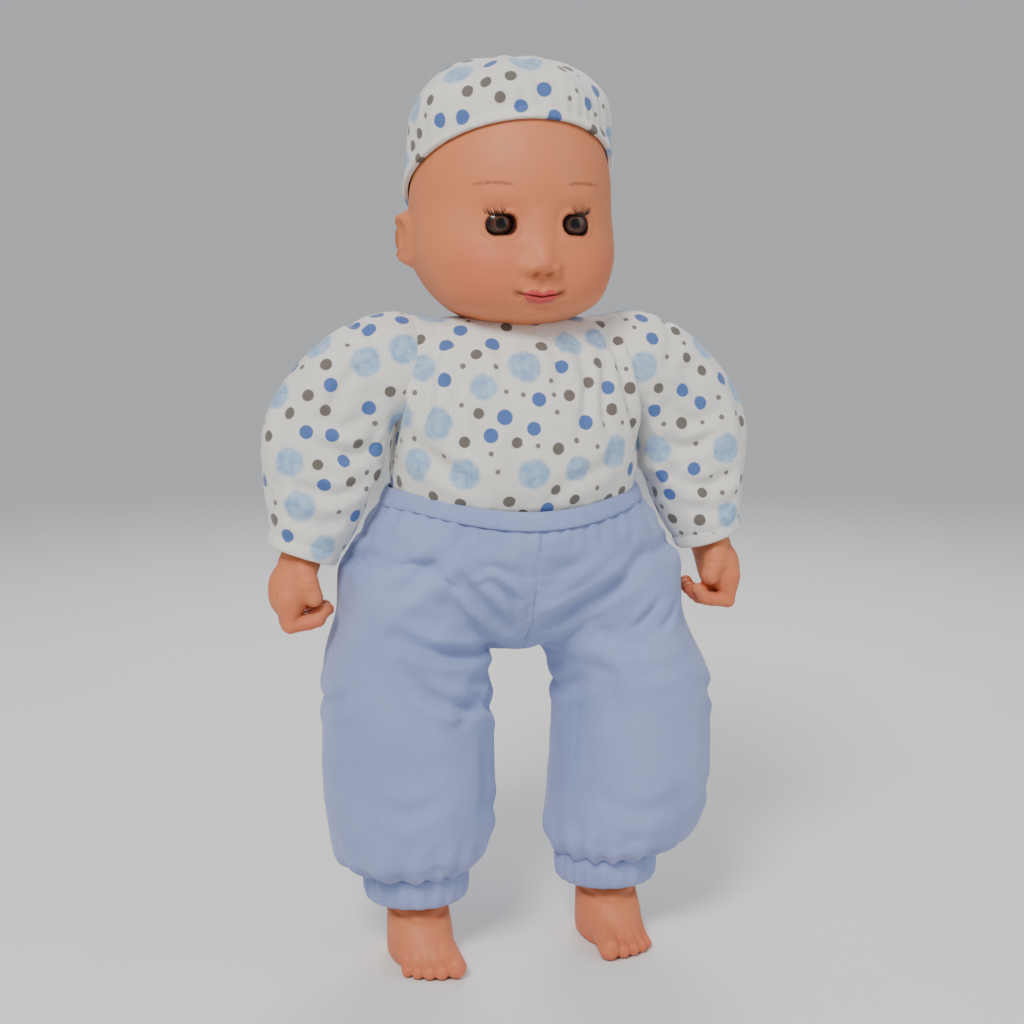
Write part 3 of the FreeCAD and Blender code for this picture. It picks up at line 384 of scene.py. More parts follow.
def gridNormals(points):  # outward normals of a wrapped grid
    across = np.roll(points, -1, axis=1) - np.roll(points, 1, axis=1)
    normal = unit(np.cross(np.gradient(points, axis=0), across))
    outward = normal * (points - points.mean(axis=1, keepdims=True))
    sign = np.sign(outward.sum(axis=(1, 2), keepdims=True))
    return normal * np.where(sign == 0, 1, sign)


def earRise(y, z):  # relief of the ear: rolled rim, inner fold, dish and lobe
    middleY, middleZ = headForm["ear"]
    wide, tall = headForm["earSize"]
    v = (z - middleZ) / tall
    u = (y - middleY - 0.9 * v) / (wide * (1 - 0.16 * v * (v < 0)))
    far = np.hypot(u, v)
    shell = ease(1.12, 0.86, far)
    rim = bell(far, 0.84, 0.16) * ease(-0.95, -0.35, v + 0.5 * u)
    dish = bell(u - 0.05, 0, 0.42) * bell(v, 0.12, 0.48)
    fold = bell(np.hypot(u + 0.1, v - 0.05), 0.5, 0.12) * ease(-0.2, 0.3, u)
    lobe = bell(u + 0.1, 0, 0.45) * bell(v, -0.78, 0.28)
    tragus = bell(u, -0.55, 0.2) * bell(v, -0.12, 0.2)
    front = ease(-1.3, 0.4, u)
    rise = headForm["earRise"]
    return rise * (shell * (0.25 + 0.55 * front) + rim * 0.45 * (0.35 + front) - 0.5 * dish
                   + 0.14 * fold + 0.22 * lobe + 0.2 * tragus) * ease(1.3, 1.0, far)


def makeHeadShape():
    # The plain head on a grid that is closer over the face. Each point moves out along its normal at the
    # cheeks, temples and jaw, aside at the ears, and forwards by the face's relief and the lids' soft edge.
    # Inside the lids it lies at one depth, behind the eye.
    share = np.linspace(0, 1, 2001)
    z = through(headForm["stations"], share)[:, 0]
    low, high = headForm["faceLow"], headForm["faceHigh"]
    inFace = ease(low - 4, low + 2, z) * ease(high + 8, high, z)
    inFront = ease(0.30, 0.37, share) * ease(0.70, 0.63, share)
    rows = spreadBy(1 + headForm["faceCloser"] * inFace, headForm["rows"])
    turns = spreadBy(1 + headForm["frontCloser"] * inFront, headForm["columns"] + 1)[:-1]
    points = headSurface(rows, turns)
    normal = gridNormals(points)
    x, y, z = np.moveaxis(points, -1, 0)
    side = np.abs(x)
    facing = ease(0.05, 0.45, -normal[..., 1])
    plump = 0
    for part, start, end in (("cheek", 10, -12), ("temple", 8, -10), ("jaw", 10, -10)):
        rise, *form = headForm[part]
        plump = plump + rise * mound(side, z, *form) * ease(start, end, y)
    points = points + normal * plump[..., None]
    ear = earRise(y, z) * ease(30, 36, side)
    points = points + together(np.sign(x), 0.12, 0) * ear[..., None]
    x, y, z = np.moveaxis(points, -1, 0)
    edge = eyeEdge(x, z)
    lids = 0.75 * bell(edge, 1.0, 1.0) * facing
    inside = ease(0.1, -0.75, edge) * (y < 0)
    y = y - faceForward(x, z) * facing - lids
    return together(x, y * (1 - inside) + (headForm["eye"][1] - 2.0) * inside, z)


eyeColours = {
    "white": paint(226, 218, 208), "lid": skinTones["vinyl"], "lidEdgeShade": paint(58, 28, 18),
    "irisOuter": paint(34, 20, 16), "irisInner": paint(98, 58, 42), "pupil": paint(12, 8, 7),
}


def dressFace(skin, place, colour, rough):
    # What is sprayed and painted on the vinyl: blush, lips, a mouth line and brows, and painted shade at the
    # nostrils, in the mouth's crease and corners, and round the lids.
    x, y, z = skin.parts(place)
    side = x.size()
    front = y.fade(-20.0, -30.0)

    def spot(colour, tone, share, middle, reach):  # a sprayed patch, or a patch of painted shade, on each side
        far = ((side - middle[0]) / reach[0]) ** 2 + ((z - middle[1]) / reach[1]) ** 2
        return skin.mix(far.fade(1.0, 0.0) * front * share, colour, skinTones[tone])

    colour = spot(colour, "blush", 0.3, (22, 272.0), (17, 14))
    colour = spot(colour, "blush", 0.2, (0, 274.5), (6, 5))
    # painted shade in the nostrils
    colour = spot(colour, "shadow", 0.6, (2.5, 271.6), (2.0, 1.1))
    height, smile, dip = headForm["mouth"]
    line = (x * x) * smile + height - ((x * x) / 2.6).fade(1.6, 0.0) * dip
    over, under = z - line, line - z
    width = ((side / 7.2) ** 2).fade(1.1, 0.25)
    cupid = ((x * x) / 1.7).fade(1.6, 0.0) * 0.55
    upper = (over / (width * 2.15 + 0.02 - cupid)).fade(1.15, 0.85) * over.fade(-0.3, 0.0)
    lower = (under / (width * 2.7 + 0.02)).fade(1.15, 0.85) * under.fade(-0.3, 0.0)
    lips = upper.most(lower) * side.fade(7.2, 6.2) * front
    # painted shade at the corners of the mouth
    colour = spot(colour, "shadow", 0.55, (8.4, 264.6), (3.0, 1.9))
    colour = skin.mix(lips * 0.9, colour, skinTones["lips"])
    # the painted line between the lips, and painted shade along the crease out past them to the corners
    crease = over.size().fade(0.5, 0.05) * side.fade(9.4, 7.4) * front
    colour = skin.mix(crease * 0.8, colour, skinTones["mouthLineAndShade"])
    rough = rough - lips * 0.12
    # brows: a thin arc of short painted strokes
    height, top, bend = headForm["brow"]
    arc = z - height + ((side - top) ** 2) * bend
    strokes = skin.noise(skin.vector("MULTIPLY", place, (1.6, 0.2, 0.5)), 1.3, 1.0)
    brow = arc.size().fade(1.0, 0.2) * side.fade(9.5, 12.5) * side.fade(25.5, 21.5) * front
    colour = skin.mix(brow * strokes.fade(0.2, 0.55) * 0.75, colour, skinTones["brow"])
    # lids: painted shade round the opening, and a thin line of darker painted shade along its edge
    sideX, _, middleZ = headForm["eye"]
    halfX, halfZ = headForm["eyeOpening"]
    corner = headForm["eyeCorner"]
    dx = ((side - sideX).size() - (halfX - corner)).most(0.0)
    up = z - middleZ + headForm["eyeLower"] + (side - sideX) * 0.05
    dz = (up.size() - (halfZ - corner)).most(0.0)
    edge = (dx * dx + dz * dz).root() - corner
    colour = skin.mix(edge.fade(1.5, 0.2) * front * 0.45, colour, skinTones["shadow"])
    return skin.mix(edge.fade(0.35, -0.1) * front, colour, eyeColours["lidEdgeShade"]), rough


headSkin = vinylSkin("faceVinyl", dressFace)
head = gridPiece("head", makeHeadShape(), headSkin)
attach(head, "head")
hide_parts("head_shell")
print("head made")


eyeSize = {"iris": 4.55, "rim": 5.3, "pupil": 2.0, "lidLean": 22.0}


def eyeFinish(name, side):  # ball: white with a dark ring round the iris, a moulded vinyl lid above the lashes, and painted shade along the lid's edge
    ball = Finish(name, Roughness=0.25, Coat_Roughness=0.05)
    x, y, z = ball.parts(ball.place())
    middleX, middleY, middleZ = headForm["eye"]
    forward, up = middleY - y, z - middleZ
    lean = math.tan(math.radians(eyeSize["lidLean"]))
    above = up - forward * lean
    # line is a band of painted shade along the lid's edge
    lid, line = above.fade(-0.25, 0.1), above.size().fade(0.7, 0.2)
    across = x - side * middleX
    far = (across * across + up * up).root()
    rim = far.fade(eyeSize["rim"] + 0.7, eyeSize["rim"])
    colour = ball.mix(rim, eyeColours["white"], eyeColours["irisOuter"])
    colour = ball.mix(lid, colour, eyeColours["lid"])
    return ball.made(ball.mix(line, colour, eyeColours["lidEdgeShade"]), lid * 0.3 + 0.18)


def irisFinish(name, side):  # clear domed plug over a brown iris with fine rays and a dark rim
    iris = Finish(name, Roughness=0.2, IOR=1.3, Coat_Weight=0.3, Coat_Roughness=0.04)
    x, _, z = iris.parts(iris.place())
    across, up = x - side * headForm["eye"][0], z - headForm["eye"][2]
    far = (across * across + up * up).root()
    spoke = iris.node("Math", {"operation": "ARCTAN2"}, {0: up, 1: across})
    along = iris.node("CombineXYZ", sockets={0: spoke * 5.0, 1: far * 0.35, 2: 0.0})
    rays = iris.noise(along, 2.2, 3.0, 0.6)
    shade = far.fade(eyeSize["iris"], 1.6) * (rays * 0.9 + 0.35)
    colour = iris.mix(shade, eyeColours["irisOuter"], eyeColours["irisInner"])
    pupil = far.fade(eyeSize["pupil"] + 0.25, eyeSize["pupil"] - 0.15)
    return iris.made(iris.mix(pupil, colour, eyeColours["pupil"]))


lashForm = {"count": 36, "halfSpread": 40.0, "lean": 20.5, "root": 7.0, "length": 4.8, "thick": 0.19,
            "sweep": 14.0, "lift": 13.5, "rings": 6}


def makeLashes(name, side, count, rings, halfSpread, sweep, lean, lift, root, length, thick):
    # Each lash is a tapered three-sided tube that curls up and sweeps outwards. They share one grid.
    share = np.linspace(-1, 1, count)[:, None]
    along = np.linspace(0, 1, rings)[None, :]
    jitter = np.sin(share * 41) * 0.5 + np.sin(share * 97) * 0.5
    angle = np.radians(share * halfSpread + side * sweep * along * 0.6 + jitter * 2.0)
    rise = np.radians(lean + lift * along**1.6 + jitter * 2.5 * along)
    reach = root + length * along * (1 - 0.25 * share**2 + 0.12 * jitter)
    level = reach * np.cos(rise)
    line = together(level * np.sin(angle), -level * np.cos(angle), reach * np.sin(rise))
    line = line + np.array(headForm["eye"]) * (side, 1, 1)
    turn = circle(3)
    across = together(np.cos(turn), 0, np.sin(turn))
    tubes = line[:, :, None, :] + thick * (1.05 - along**1.5)[..., None, None] * across
    grid = np.arange(count * rings * 3).reshape(count, rings, 3)
    ends = grid[:, -1, ::-1].tolist() + grid[:, 0].tolist()
    piece = meshPiece(name, tubes.reshape(-1, 3), cellsOf(wrapped(grid)).tolist() + ends, lashFinish)
    outward(piece)
    return piece


def outward(piece):  # turns a closed mesh's faces outwards
    shape = bmesh.new()
    shape.from_mesh(piece.data)
    bmesh.ops.recalc_face_normals(shape, faces=shape.faces)
    shape.to_mesh(piece.data)
    shape.free()


lash = Finish("lashNylon", Roughness=0.4)
lashFinish = lash.made(lash.mix(lash.noise(lash.place(), 0.9), paint(44, 26, 19), paint(70, 42, 30)))
for side, name in sides:
    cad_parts[f"eyeball_{name}"].data.materials[0] = eyeFinish(f"eyeWhite_{name}", side)
    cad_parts[f"eye_iris_{name}"].data.materials[0] = irisFinish(f"iris_{name}", side)
    lashes = makeLashes(f"lashes_{name}", side, **lashForm)
    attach(lashes, f"eye_{name}")
    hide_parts(f"eyelash_{name}")
print("eyes made")


clothColours = {
    "cotton": paint(234, 231, 223), "cottonShade": paint(222, 220, 214),
    "blue": paint(149, 163, 210), "blueShade": paint(136, 150, 198),
    "greyDot": paint(88, 79, 69), "smallDot": paint(106, 99, 91), "blueDot": paint(42, 90, 164),
    "blob": paint(122, 164, 208), "blobPale": paint(164, 194, 222),
}
dotForm = {
    # radius, square millimetres of cloth for each, room beside it, how uneven the sizes are
    "blob": (5.9, 680.0, 2.6, 0.15), "blueDot": (2.8, 520.0, 2.6, 0.06),
    "greyDot": (2.3, 360.0, 2.8, 0.08), "smallDot": (1.05, 300.0, 2.4, 0.1),
}
dotSeeds = {"body": 11, "sleeve": 23, "cap": 5}


def scatterDots(piece, seed):
    # Dots thrown over the cloth one at a time, each kept only where it clears those before it.
    random = np.random.default_rng(seed)
    area, middle = read(piece.data.polygons, "area"), middlesOf(piece)
    dots = []
    for kind, (radius, each, room, uneven) in dotForm.items():
        wanted = round(area.sum() / mm**2 / each)
        tries = random.choice(len(area), wanted * 25, p=area / area.sum())
        for place, draw in zip(middle[tries], random.uniform(-1, 1, len(tries))):
            size = radius * (1 + uneven * draw)
            if all(np.linalg.norm(place - spot) > size + far + room for spot, far, _ in dots):
                dots.append((place, size, kind))
                wanted -= 1
            if wanted == 0:
                break
    return dots


def printOn(piece, dots):  # stores the middle and the radius of the dot of each kind nearest to each face
    middle = middlesOf(piece)
    noDot = (0.0, 0.0, 900.0, 1.0)  # one too far off to show
    for kind in dotForm:
        nearest, far = np.tile(noDot, (len(middle), 1)), np.full(len(middle), noDot[2])
        for place, size, _ in (dot for dot in dots if dot[2] == kind):
            away = np.linalg.norm(middle - place, axis=1) - size
            nearest[away < far] = (*place, size)
            far = np.minimum(far, away)
        layer = piece.data.attributes.new(kind, "FLOAT_COLOR", "FACE")
        layer.data.foreach_set("color", nearest.ravel())


def dotAway(cloth, place, kind):  # how far a point lies outside the nearest dot of a kind
    middle, size = cloth.stored(kind), cloth.stored(kind, 3)
    return cloth.vector("DISTANCE", place, middle, 1) - size


def knit(cloth):
    # jersey: upright wales with small slanting courses between them, and a little fluff
    across, along, _ = cloth.parts(cloth.node("UVMap", {"uv_map": "cloth"}))
    wale = (across * (2 * pi / 1.05)).wave()
    course = (along * (2 * pi / 0.85) + wale.size() * 1.8).wave()
    return wale * 0.5 + course * 0.35


def cottonFinish(name, printed):
    # Soft knitted cotton. The print is round dots of three kinds and larger mottled pale ones.
    cloth = Finish(name, Roughness=0.85, Sheen_Weight=0.2, Sheen_Roughness=0.5, Specular_IOR_Level=0.25)
    place = cloth.stored("clothPlace")
    cloud = cloth.noise(place, 0.03, 3.0)
    fluff = cloth.noise(place, 1.4, 2.0)
    if printed:
        colour = cloth.mix(cloud.fade(0.3, 0.75), clothColours["cotton"], clothColours["cottonShade"])
        wobble = (cloth.noise(place, 0.3, 2.0) - 0.5) * 2.4
        mottle = cloth.noise(place, 0.35, 3.0, 0.6).fade(0.35, 0.7)
        wash = cloth.mix(mottle, clothColours["blobPale"], clothColours["blob"])
        blob = (dotAway(cloth, place, "blob") + wobble).fade(0.9, -1.1)
        colour = cloth.mix(blob * 0.92, colour, wash)
        for kind in ("blueDot", "greyDot", "smallDot"):
            dot = (dotAway(cloth, place, kind) + (fluff - 0.5) * 0.3).fade(0.28, -0.28)
            colour = cloth.mix(dot * 0.93, colour, clothColours[kind])
    else:
        colour = cloth.mix(cloud.fade(0.3, 0.75), clothColours["blue"], clothColours["blueShade"])
    loops = knit(cloth)
    # painted shade in the hollows between the knit's loops and fluff
    colour = cloth.mix((loops * 0.5 + fluff).fade(0.75, 0.1) * 0.10, colour, paint(96, 104, 124))
    return cloth.made(colour, fluff * 0.1 + 0.8, loops + fluff * 1.2, 0.06)


printedCotton = cottonFinish("printedCotton", True)
blueCotton = cottonFinish("blueCotton", False)


def ring(stations, rows, columns, square=1.0):
    # A tube through leaning ellipses: side, back, height, half width, half depth, lean in degrees.
    x, y, z, wide, deep, lean = through(stations, np.linspace(0, 1, rows)).T[:, :, None]
    lean, turn = np.radians(lean), circle(columns)
    across = np.maximum(wide, 0) * rounded(np.sin(turn), square)
    back = np.maximum(deep, 0) * rounded(np.cos(turn), square)
    return together(x + across * np.cos(lean), y + back, z + across * np.sin(lean))


def flipped(stations):  # the same stations on the doll's right side
    return [(-x, y, z, wide, deep, -lean) for x, y, z, wide, deep, lean in stations]


def joined(pieces, name):
    bpy.ops.object.select_all(action="DESELECT")
    for piece in pieces:
        piece.select_set(True)
    bpy.context.view_layer.objects.active = pieces[0]
    bpy.ops.object.join()
    pieces[0].name = pieces[0].data.name = name
    return pieces[0]


clothRecipe = {
    "frames": 20, "cap": 2.4, "quality": 6, "mass": 0.15, "tension_stiffness": 12,
    "compression_stiffness": 12, "shear_stiffness": 6, "bending_stiffness": 0.6, "use_pressure": True,
    "uniform_pressure_force": 2.6, "shrink_min": -0.03,
}


def puff(piece, held, frames, cap, **recipe):
    # Air under the cloth swells the form between what is sewn down; no point moves past the cap.
    before = spotsOf(piece)
    group = piece.vertex_groups.new(name="sewn")
    share = np.round(np.clip(held(*before.T), 0, 1) * 8).astype(int)
    for step in range(1, 9):
        group.add(np.flatnonzero(share == step).tolist(), step / 8, "REPLACE")
    cloth = piece.modifiers.new("cloth", "CLOTH")
    for key, value in recipe.items():
        setattr(cloth.settings, key, value)
    cloth.settings.vertex_group_mass = group.name
    cloth.settings.effector_weights.gravity = 0.0
    scene = bpy.context.scene
    for clock in (scene, cloth.point_cache):
        clock.frame_start, clock.frame_end = 1, frames
    for number in range(1, frames + 1):
        scene.frame_set(number)
    made = piece.evaluated_get(bpy.context.evaluated_depsgraph_get()).to_mesh()
    step = read(made.vertices, "co", 3) / mm - before
    far = np.linalg.norm(step, axis=1, keepdims=True)
    piece.modifiers.remove(cloth)
    piece.vertex_groups.clear()
    moveSpots(piece, before + step * np.minimum(1, cap / np.maximum(far, 1e-6)))
    scene.frame_set(1)
    print(f"{piece.name} puffed, {far.mean():.1f} mm on average, {far.max():.1f} at most")


def stuffed(piece, held, voxel=2.6, smoothing=4, **air):  # remeshed evenly, puffed and made finer
    applied(piece, "REMESH", mode="VOXEL", voxel_size=voxel * mm)
    applied(piece, "SMOOTH", factor=0.5, iterations=smoothing)
    puff(piece, held, **{**clothRecipe, **air})
    applied(piece, "SUBSURF", levels=1, render_levels=1)


facings = {"front": (0, -1, 0), "back": (0, 1, 0), "left": (1, 0, 0), "right": (-1, 0, 0)}


def crease(piece, folds):
    # Each fold is a valley along a smooth line drawn on the front, back or side, with soft banks.
    spots, normals, steps = spotsOf(piece), normalsOf(piece), 32
    for view, drawn in folds.items():
        facing = ease(0.05, 0.5, normals @ np.array(facings[view], float))
        for line, depth, width in drawn:
            path = through(line, np.linspace(0, 1, steps + 1))
            flat = spots[:, [1 if view in ("left", "right") else 0, 2]]
            gap = np.linalg.norm(flat[:, None] - path, axis=2)
            nearest, far = gap.argmin(axis=1), gap.min(axis=1)
            fade = np.sin(pi * np.clip(nearest / steps, 0.02, 0.98)) ** 0.6  # shallow at both ends
            rise = -bell(far, 0, width) + 0.55 * bell(far, 1.9 * width, width)
            spots = spots + normals * (depth * rise * fade * facing)[:, None]
    moveSpots(piece, spots)


def half(piece, name, side, finish):
    # The part of a stuffed piece on one side of its middle plane, closed along the cut.
    shape = bmesh.new()
    shape.from_mesh(piece.data)
    whole = shape.verts[:] + shape.edges[:] + shape.faces[:]
    bmesh.ops.bisect_plane(shape, geom=whole, plane_co=(0, 0, 0), plane_no=(-side, 0, 0), clear_outer=True)
    bmesh.ops.holes_fill(shape, edges=[edge for edge in shape.edges if edge.is_boundary])
    bmesh.ops.triangulate(shape, faces=[face for face in shape.faces if len(face.verts) > 4])
    bmesh.ops.recalc_face_normals(shape, faces=shape.faces)
    mesh = bpy.data.meshes.new(name)
    shape.to_mesh(mesh)
    shape.free()
    mesh.materials.append(finish)
    mesh.shade_smooth()
    return linked(name, mesh)


def mapCloth(piece, axis):
    # Lays the cloth flat round an axis, in millimetres, and keeps where each point was at rest.
    keepPlace(piece)
    spots, mesh = spotsOf(piece), piece.data
    line = through(axis, np.linspace(0, 1, 61))
    run = unit(np.gradient(line, axis=0))
    near = np.linalg.norm(spots[:, None] - line, axis=2).argmin(axis=1)
    away = spots - line[near]
    out = (away * np.cross(run, (0.0, 1.0, 0.0))[near]).sum(axis=1)
    angle = np.arctan2(out, -away[:, 1])
    radius = float(np.median(np.hypot(out, away[:, 1])))
    down = lengthAlong(line)[near] + (away * run[near]).sum(axis=1)
    corners = read(mesh.loops, "vertex_index", kind=np.int32)
    starts, counts = (read(mesh.polygons, key, kind=np.int32) for key in ("loop_start", "loop_total"))
    turned = angle[corners]
    first = np.repeat(turned[starts], counts)
    turned = turned - 2 * pi * np.round((turned - first) / (2 * pi))  # no face lies across the join
    layFlat(piece, together(turned * radius, down[corners]))


waistEdge = {"dip": 6.4, "side": 46.0}  # the trousers' upper edge hangs lower at the front and back


def waistDip(x, y):  # a cosine from side to side, less deep at the back
    reach = np.clip(np.abs(x) / waistEdge["side"], 0, 1)
    return -waistEdge["dip"] * np.cos(reach * pi / 2) * (0.35 + 0.65 * ease(20, -20, y))


shirtForm = {
    # side, back, height, half width, half depth, lean
    "body": [(0, 0, 176, 43, 32, 0), (0, 0, 181, 46.6, 35, 0), (0, -0.3, 189, 48, 37.4, 0),
        (0, -0.5, 200, 48.4, 39.4, 0), (0, -0.5, 216, 48.8, 38.8, 0), (0, 0, 234, 49, 33.4, 0),
        (0, 0.5, 245, 47.5, 27.6, 0), (0, 0.8, 251, 43, 23.4, 0), (0, 0.4, 254.2, 34, 19.4, 0),
        (0, 0.4, 255.4, 21, 17, 0), (0, 0.4, 255.8, 8, 8, 0)],
    "shoulder": (3.6, 43.0, 6.5),  # rise of the bunched cloth, where, and how wide
    "air": {"uniform_pressure_force": 2.2, "cap": 2.2},
    "folds": {
        "front": [
            ([(33, 249), (36, 240), (38, 229), (41, 217), (47, 203)], 2.6, 2.3),
            ([(-34, 249), (-38, 238), (-41, 222), (-47, 206)], 2.2, 2.4),
            ([(29, 238), (26, 224), (30, 210)], 1.6, 2.3), ([(-26, 245), (-29, 224), (-25, 200)], 1.8, 3.0),
            ([(18, 246), (20, 230), (15, 212)], 1.7, 2.4), ([(7, 249), (9, 238), (7, 228)], 1.1, 2.0),
            ([(-11, 248), (-13, 234), (-10, 222)], 1.1, 2.4), ([(-48, 214), (-38, 203), (-22, 192)], 1.8, 3),
            ([(36, 206), (22, 198), (8, 194)], 1.2, 3.0), ([(-6, 218), (-10, 204), (-6, 190)], 1.0, 3.6)],
        "back": [
            ([(34, 246), (39, 228), (44, 206)], 2.0, 2.8), ([(-34, 246), (-39, 228), (-44, 206)], 2.0, 2.8),
            ([(22, 240), (18, 222), (24, 202)], 1.2, 3.8), ([(-38, 206), (-24, 198), (-10, 190)], 1.3, 3.0)],
    },
}
sleeveForm = {
    # a round head about the shoulder's axis, a full upper arm and a slanting open end
    "stations": [(33, 0, 236.6, 9, 9, 90), (36.5, 0, 236.6, 16, 16, 90), (40.5, 0, 236.6, 19.6, 19, 90),
        (46, 0, 236.4, 21.2, 19.6, 90), (52, 0, 234.8, 21.8, 19, 84), (57.6, 0, 230.4, 22.6, 18.4, 70),
        (63.4, 0, 224.4, 23.4, 18, 58), (68.8, 0, 216.8, 24.4, 17.6, 47), (74, 0, 207, 25, 17.2, 35),
        (77.6, 0, 196.2, 23, 16.6, 26), (79.5, 0, 184.8, 19.6, 15.6, 22), (81.4, 0, 174.2, 16.4, 14.6, 20),
        (83, 0, 168.2, 13.8, 13.4, 19), (83, 0, 166.8, 9, 9, 19)],
    "axis": [(40, 0, 238), (54, 0, 234), (64, 0, 225), (72, 0, 212), (78, 0, 196), (83, 0, 160)],
    "air": {"uniform_pressure_force": 1.8, "cap": 1.6, "voxel": 2.2},
    "folds": [
        ([(56, 207), (66, 203), (80, 208)], 1.7), ([(60, 193), (72, 188), (92, 193)], 1.5),
        ([(68, 179), (80, 177), (93, 183)], 1.0), ([(56, 240), (68, 231), (75, 218)], 1.3),
        ([(86, 232), (93, 216), (94, 202)], 0.9), ([(58, 222), (68, 214), (84, 218)], 1.0),
    ],
}


def shirtHeld(x, y, z):  # how firmly each point is sewn down
    return np.maximum(ease(186, 180, z), ease(246, 250, z) * ease(34, 26, np.abs(x)))


def sleeveHeld(x, y, z):
    return np.maximum(ease(54, 46, np.abs(x)), ease(178, 170, z))


def makeShirtBody():
    # A tube of ellipses from hem to neck, puffed, raised along the shoulders and creased.
    body = gridPiece("shirtBody", ring(shirtForm["body"], 60, 96, 0.94), printedCotton)
    stuffed(body, shirtHeld, **shirtForm["air"])
    spots = spotsOf(body)
    rise, middle, reach = shirtForm["shoulder"]
    spots[:, 2] += rise * bell(np.abs(spots[:, 0]), middle, reach) * ease(238, 252, spots[:, 2])
    moveSpots(body, spots)
    crease(body, shirtForm["folds"])
    body.data.shade_smooth()
    mapCloth(body, [(0, 0, 180), (0, 0, 215), (0, 0, 256)])
    printOn(body, scatterDots(body, dotSeeds["body"]))
    return body


sleeveDots = {}  # the print goes on over the hems


def makeSleeve(name, side):
    # A tube of leaning ellipses from shoulder to wrist, puffed, then creased in front and behind.
    form = sleeveForm["stations"] if side > 0 else flipped(sleeveForm["stations"])
    sleeve = gridPiece(f"sleeve_{name}_cloth", ring(form, 90, 72), printedCotton)
    stuffed(sleeve, sleeveHeld, **sleeveForm["air"])
    for view in ("front", "back"):
        shift = 2.0 * (view == "back") + 1.5 * (side < 0)  # folds lie higher behind and on the right
        crease(sleeve, {view: [([(side * x, z + shift) for x, z in line], deep, 2.5)
                               for line, deep in sleeveForm["folds"]]})
    sleeve.data.shade_smooth()
    mapCloth(sleeve, [(side * x, y, z) for x, y, z in sleeveForm["axis"]])
    sleeveDots[name] = scatterDots(sleeve, dotSeeds["sleeve"] + side)
    printOn(sleeve, sleeveDots[name])
    return sleeve


shirtBody = makeShirtBody()
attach(shirtBody, "torso")
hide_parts("torso_cover", "torso_fill")
for side, name in sides:
    sleeve = makeSleeve(name, side)
    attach(sleeve, f"arm_{name}")
    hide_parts(f"sleeve_{name}", f"arm_fill_{name}")
print("shirt made")


trouserForm = {
    "seat": [(0, 0.5, 190, 42, 31, 0), (0, 0.3, 188.5, 48, 35.6, 0), (0, 0.3, 183, 52.8, 40, 0),
        (0, 0.6, 172, 59.6, 40.6, 0), (0, 1.4, 160, 65.4, 38.4, 0), (0, 1.6, 150, 66, 35.6, 0),
        (0, 1.8, 140, 50, 30, 0), (0, 2, 130, 22, 21, 0), (0, 2, 125.5, 8, 11, 0)],
    "leg": [(34, 0.6, 168, 22, 24, 0), (38, 0.4, 158, 30, 31, 0), (39.6, 0, 148, 30.4, 31, 0),
        (40.2, 0, 136, 30.6, 30.8, 0), (43, 0, 124, 31.4, 31, 0), (45.6, 0, 111, 33, 31.4, 0),
        (46.4, 0, 92, 33.2, 31.2, 0), (46.6, 0, 71, 33.4, 31.6, 0), (45.4, 0, 53, 32.4, 30.6, 0),
        (43.6, 0, 43, 29.4, 28, 0), (41.6, 0, 37.4, 24, 23.4, 0), (40.4, 0, 34.6, 18, 18, 0)],
    "legAxis": [(20, 0, 190), (40, 0, 150), (46, 0, 110), (46.5, 0, 72), (41, 0, 30)],
    "sway": {1: 2.6, -1: 4.2},  # the stuffed legs hang a little to the doll's left
    "seamDeep": 0.45, "seamWide": 1.2, "handRoom": 1.8, "gathers": 15, "waistGathers": 38, "gatherDeep": 0.9,
    "folds": {
        "front": [
            ([(-1, 131), (6, 138), (17, 144), (30, 152), (42, 158)], 3.4, 3.2),
            ([(27, 166), (14, 156), (5, 147)], -1.2, 3.2),
            ([(-7, 127), (-26, 127.5), (-38, 130), (-54, 137)], 3.2, 2.6),
            ([(-12, 106), (-28, 108), (-40, 113), (-52, 125)], 2.0, 2.6),
            ([(-8, 136), (-21, 149), (-33, 163)], 2.0, 2.2),
            ([(-10, 131), (-23, 143), (-38, 157)], -1.5, 3.0),
            ([(-27, 157), (-19, 160.5), (-11, 156), (-5, 147), (-5, 139)], -1.2, 1.6),
            ([(-16, 156), (-9.5, 150), (-8, 142)], 1.0, 1.8),
            ([(-30, 172), (-42, 162), (-56, 150)], 1.8, 3.4),
            ([(9, 131), (16, 117), (20, 101), (19, 84)], 1.8, 4.6),
            ([(41, 133), (47, 140), (53, 147)], 1.3, 1.7), ([(51, 131), (57, 138), (61, 145)], 1.0, 1.6),
            ([(24, 122), (44, 117), (66, 120)], 0.8, 3.2), ([(26, 66), (44, 60), (66, 66)], 1.0, 3.8),
            ([(-18, 96), (-15, 80), (-17, 62)], 1.1, 3.4), ([(-36, 74), (-50, 68), (-64, 74)], 1.0, 3.4),
            ([(-26, 180), (-31, 172), (-29, 164)], 0.9, 2.4), ([(36, 182), (40, 174), (37, 166)], 0.8, 2.4)],
        "back": [
            ([(6, 132), (22, 144), (48, 156)], 2.6, 3.2), ([(-6, 132), (-24, 145), (-48, 156)], 2.6, 3.2),
            ([(14, 110), (38, 103), (64, 111)], 1.8, 3.2), ([(-14, 108), (-38, 102), (-64, 108)], 1.8, 3.2),
            ([(18, 76), (40, 68), (64, 74)], 1.0, 3.6)],
        "left": [
            ([(-24, 108), (-4, 100), (20, 106)], 1.5, 3.0), ([(-22, 66), (0, 58), (20, 64)], 1.0, 3.2),
            ([(-16, 176), (-6, 160), (-12, 146)], 1.3, 3.0)],
        "right": [
            ([(-24, 116), (-4, 106), (20, 110)], 1.7, 3.0), ([(-16, 176), (-6, 160), (-12, 146)], 1.3, 3.0)],
    },
}


def trousersHeld(x, y, z):
    waist = ease(178, 184, z - waistDip(x, y))
    return np.maximum.reduce([waist, ease(40, 37, z), 0.5 * bell(x, 0, 4.0) * ease(126, 134, z)])


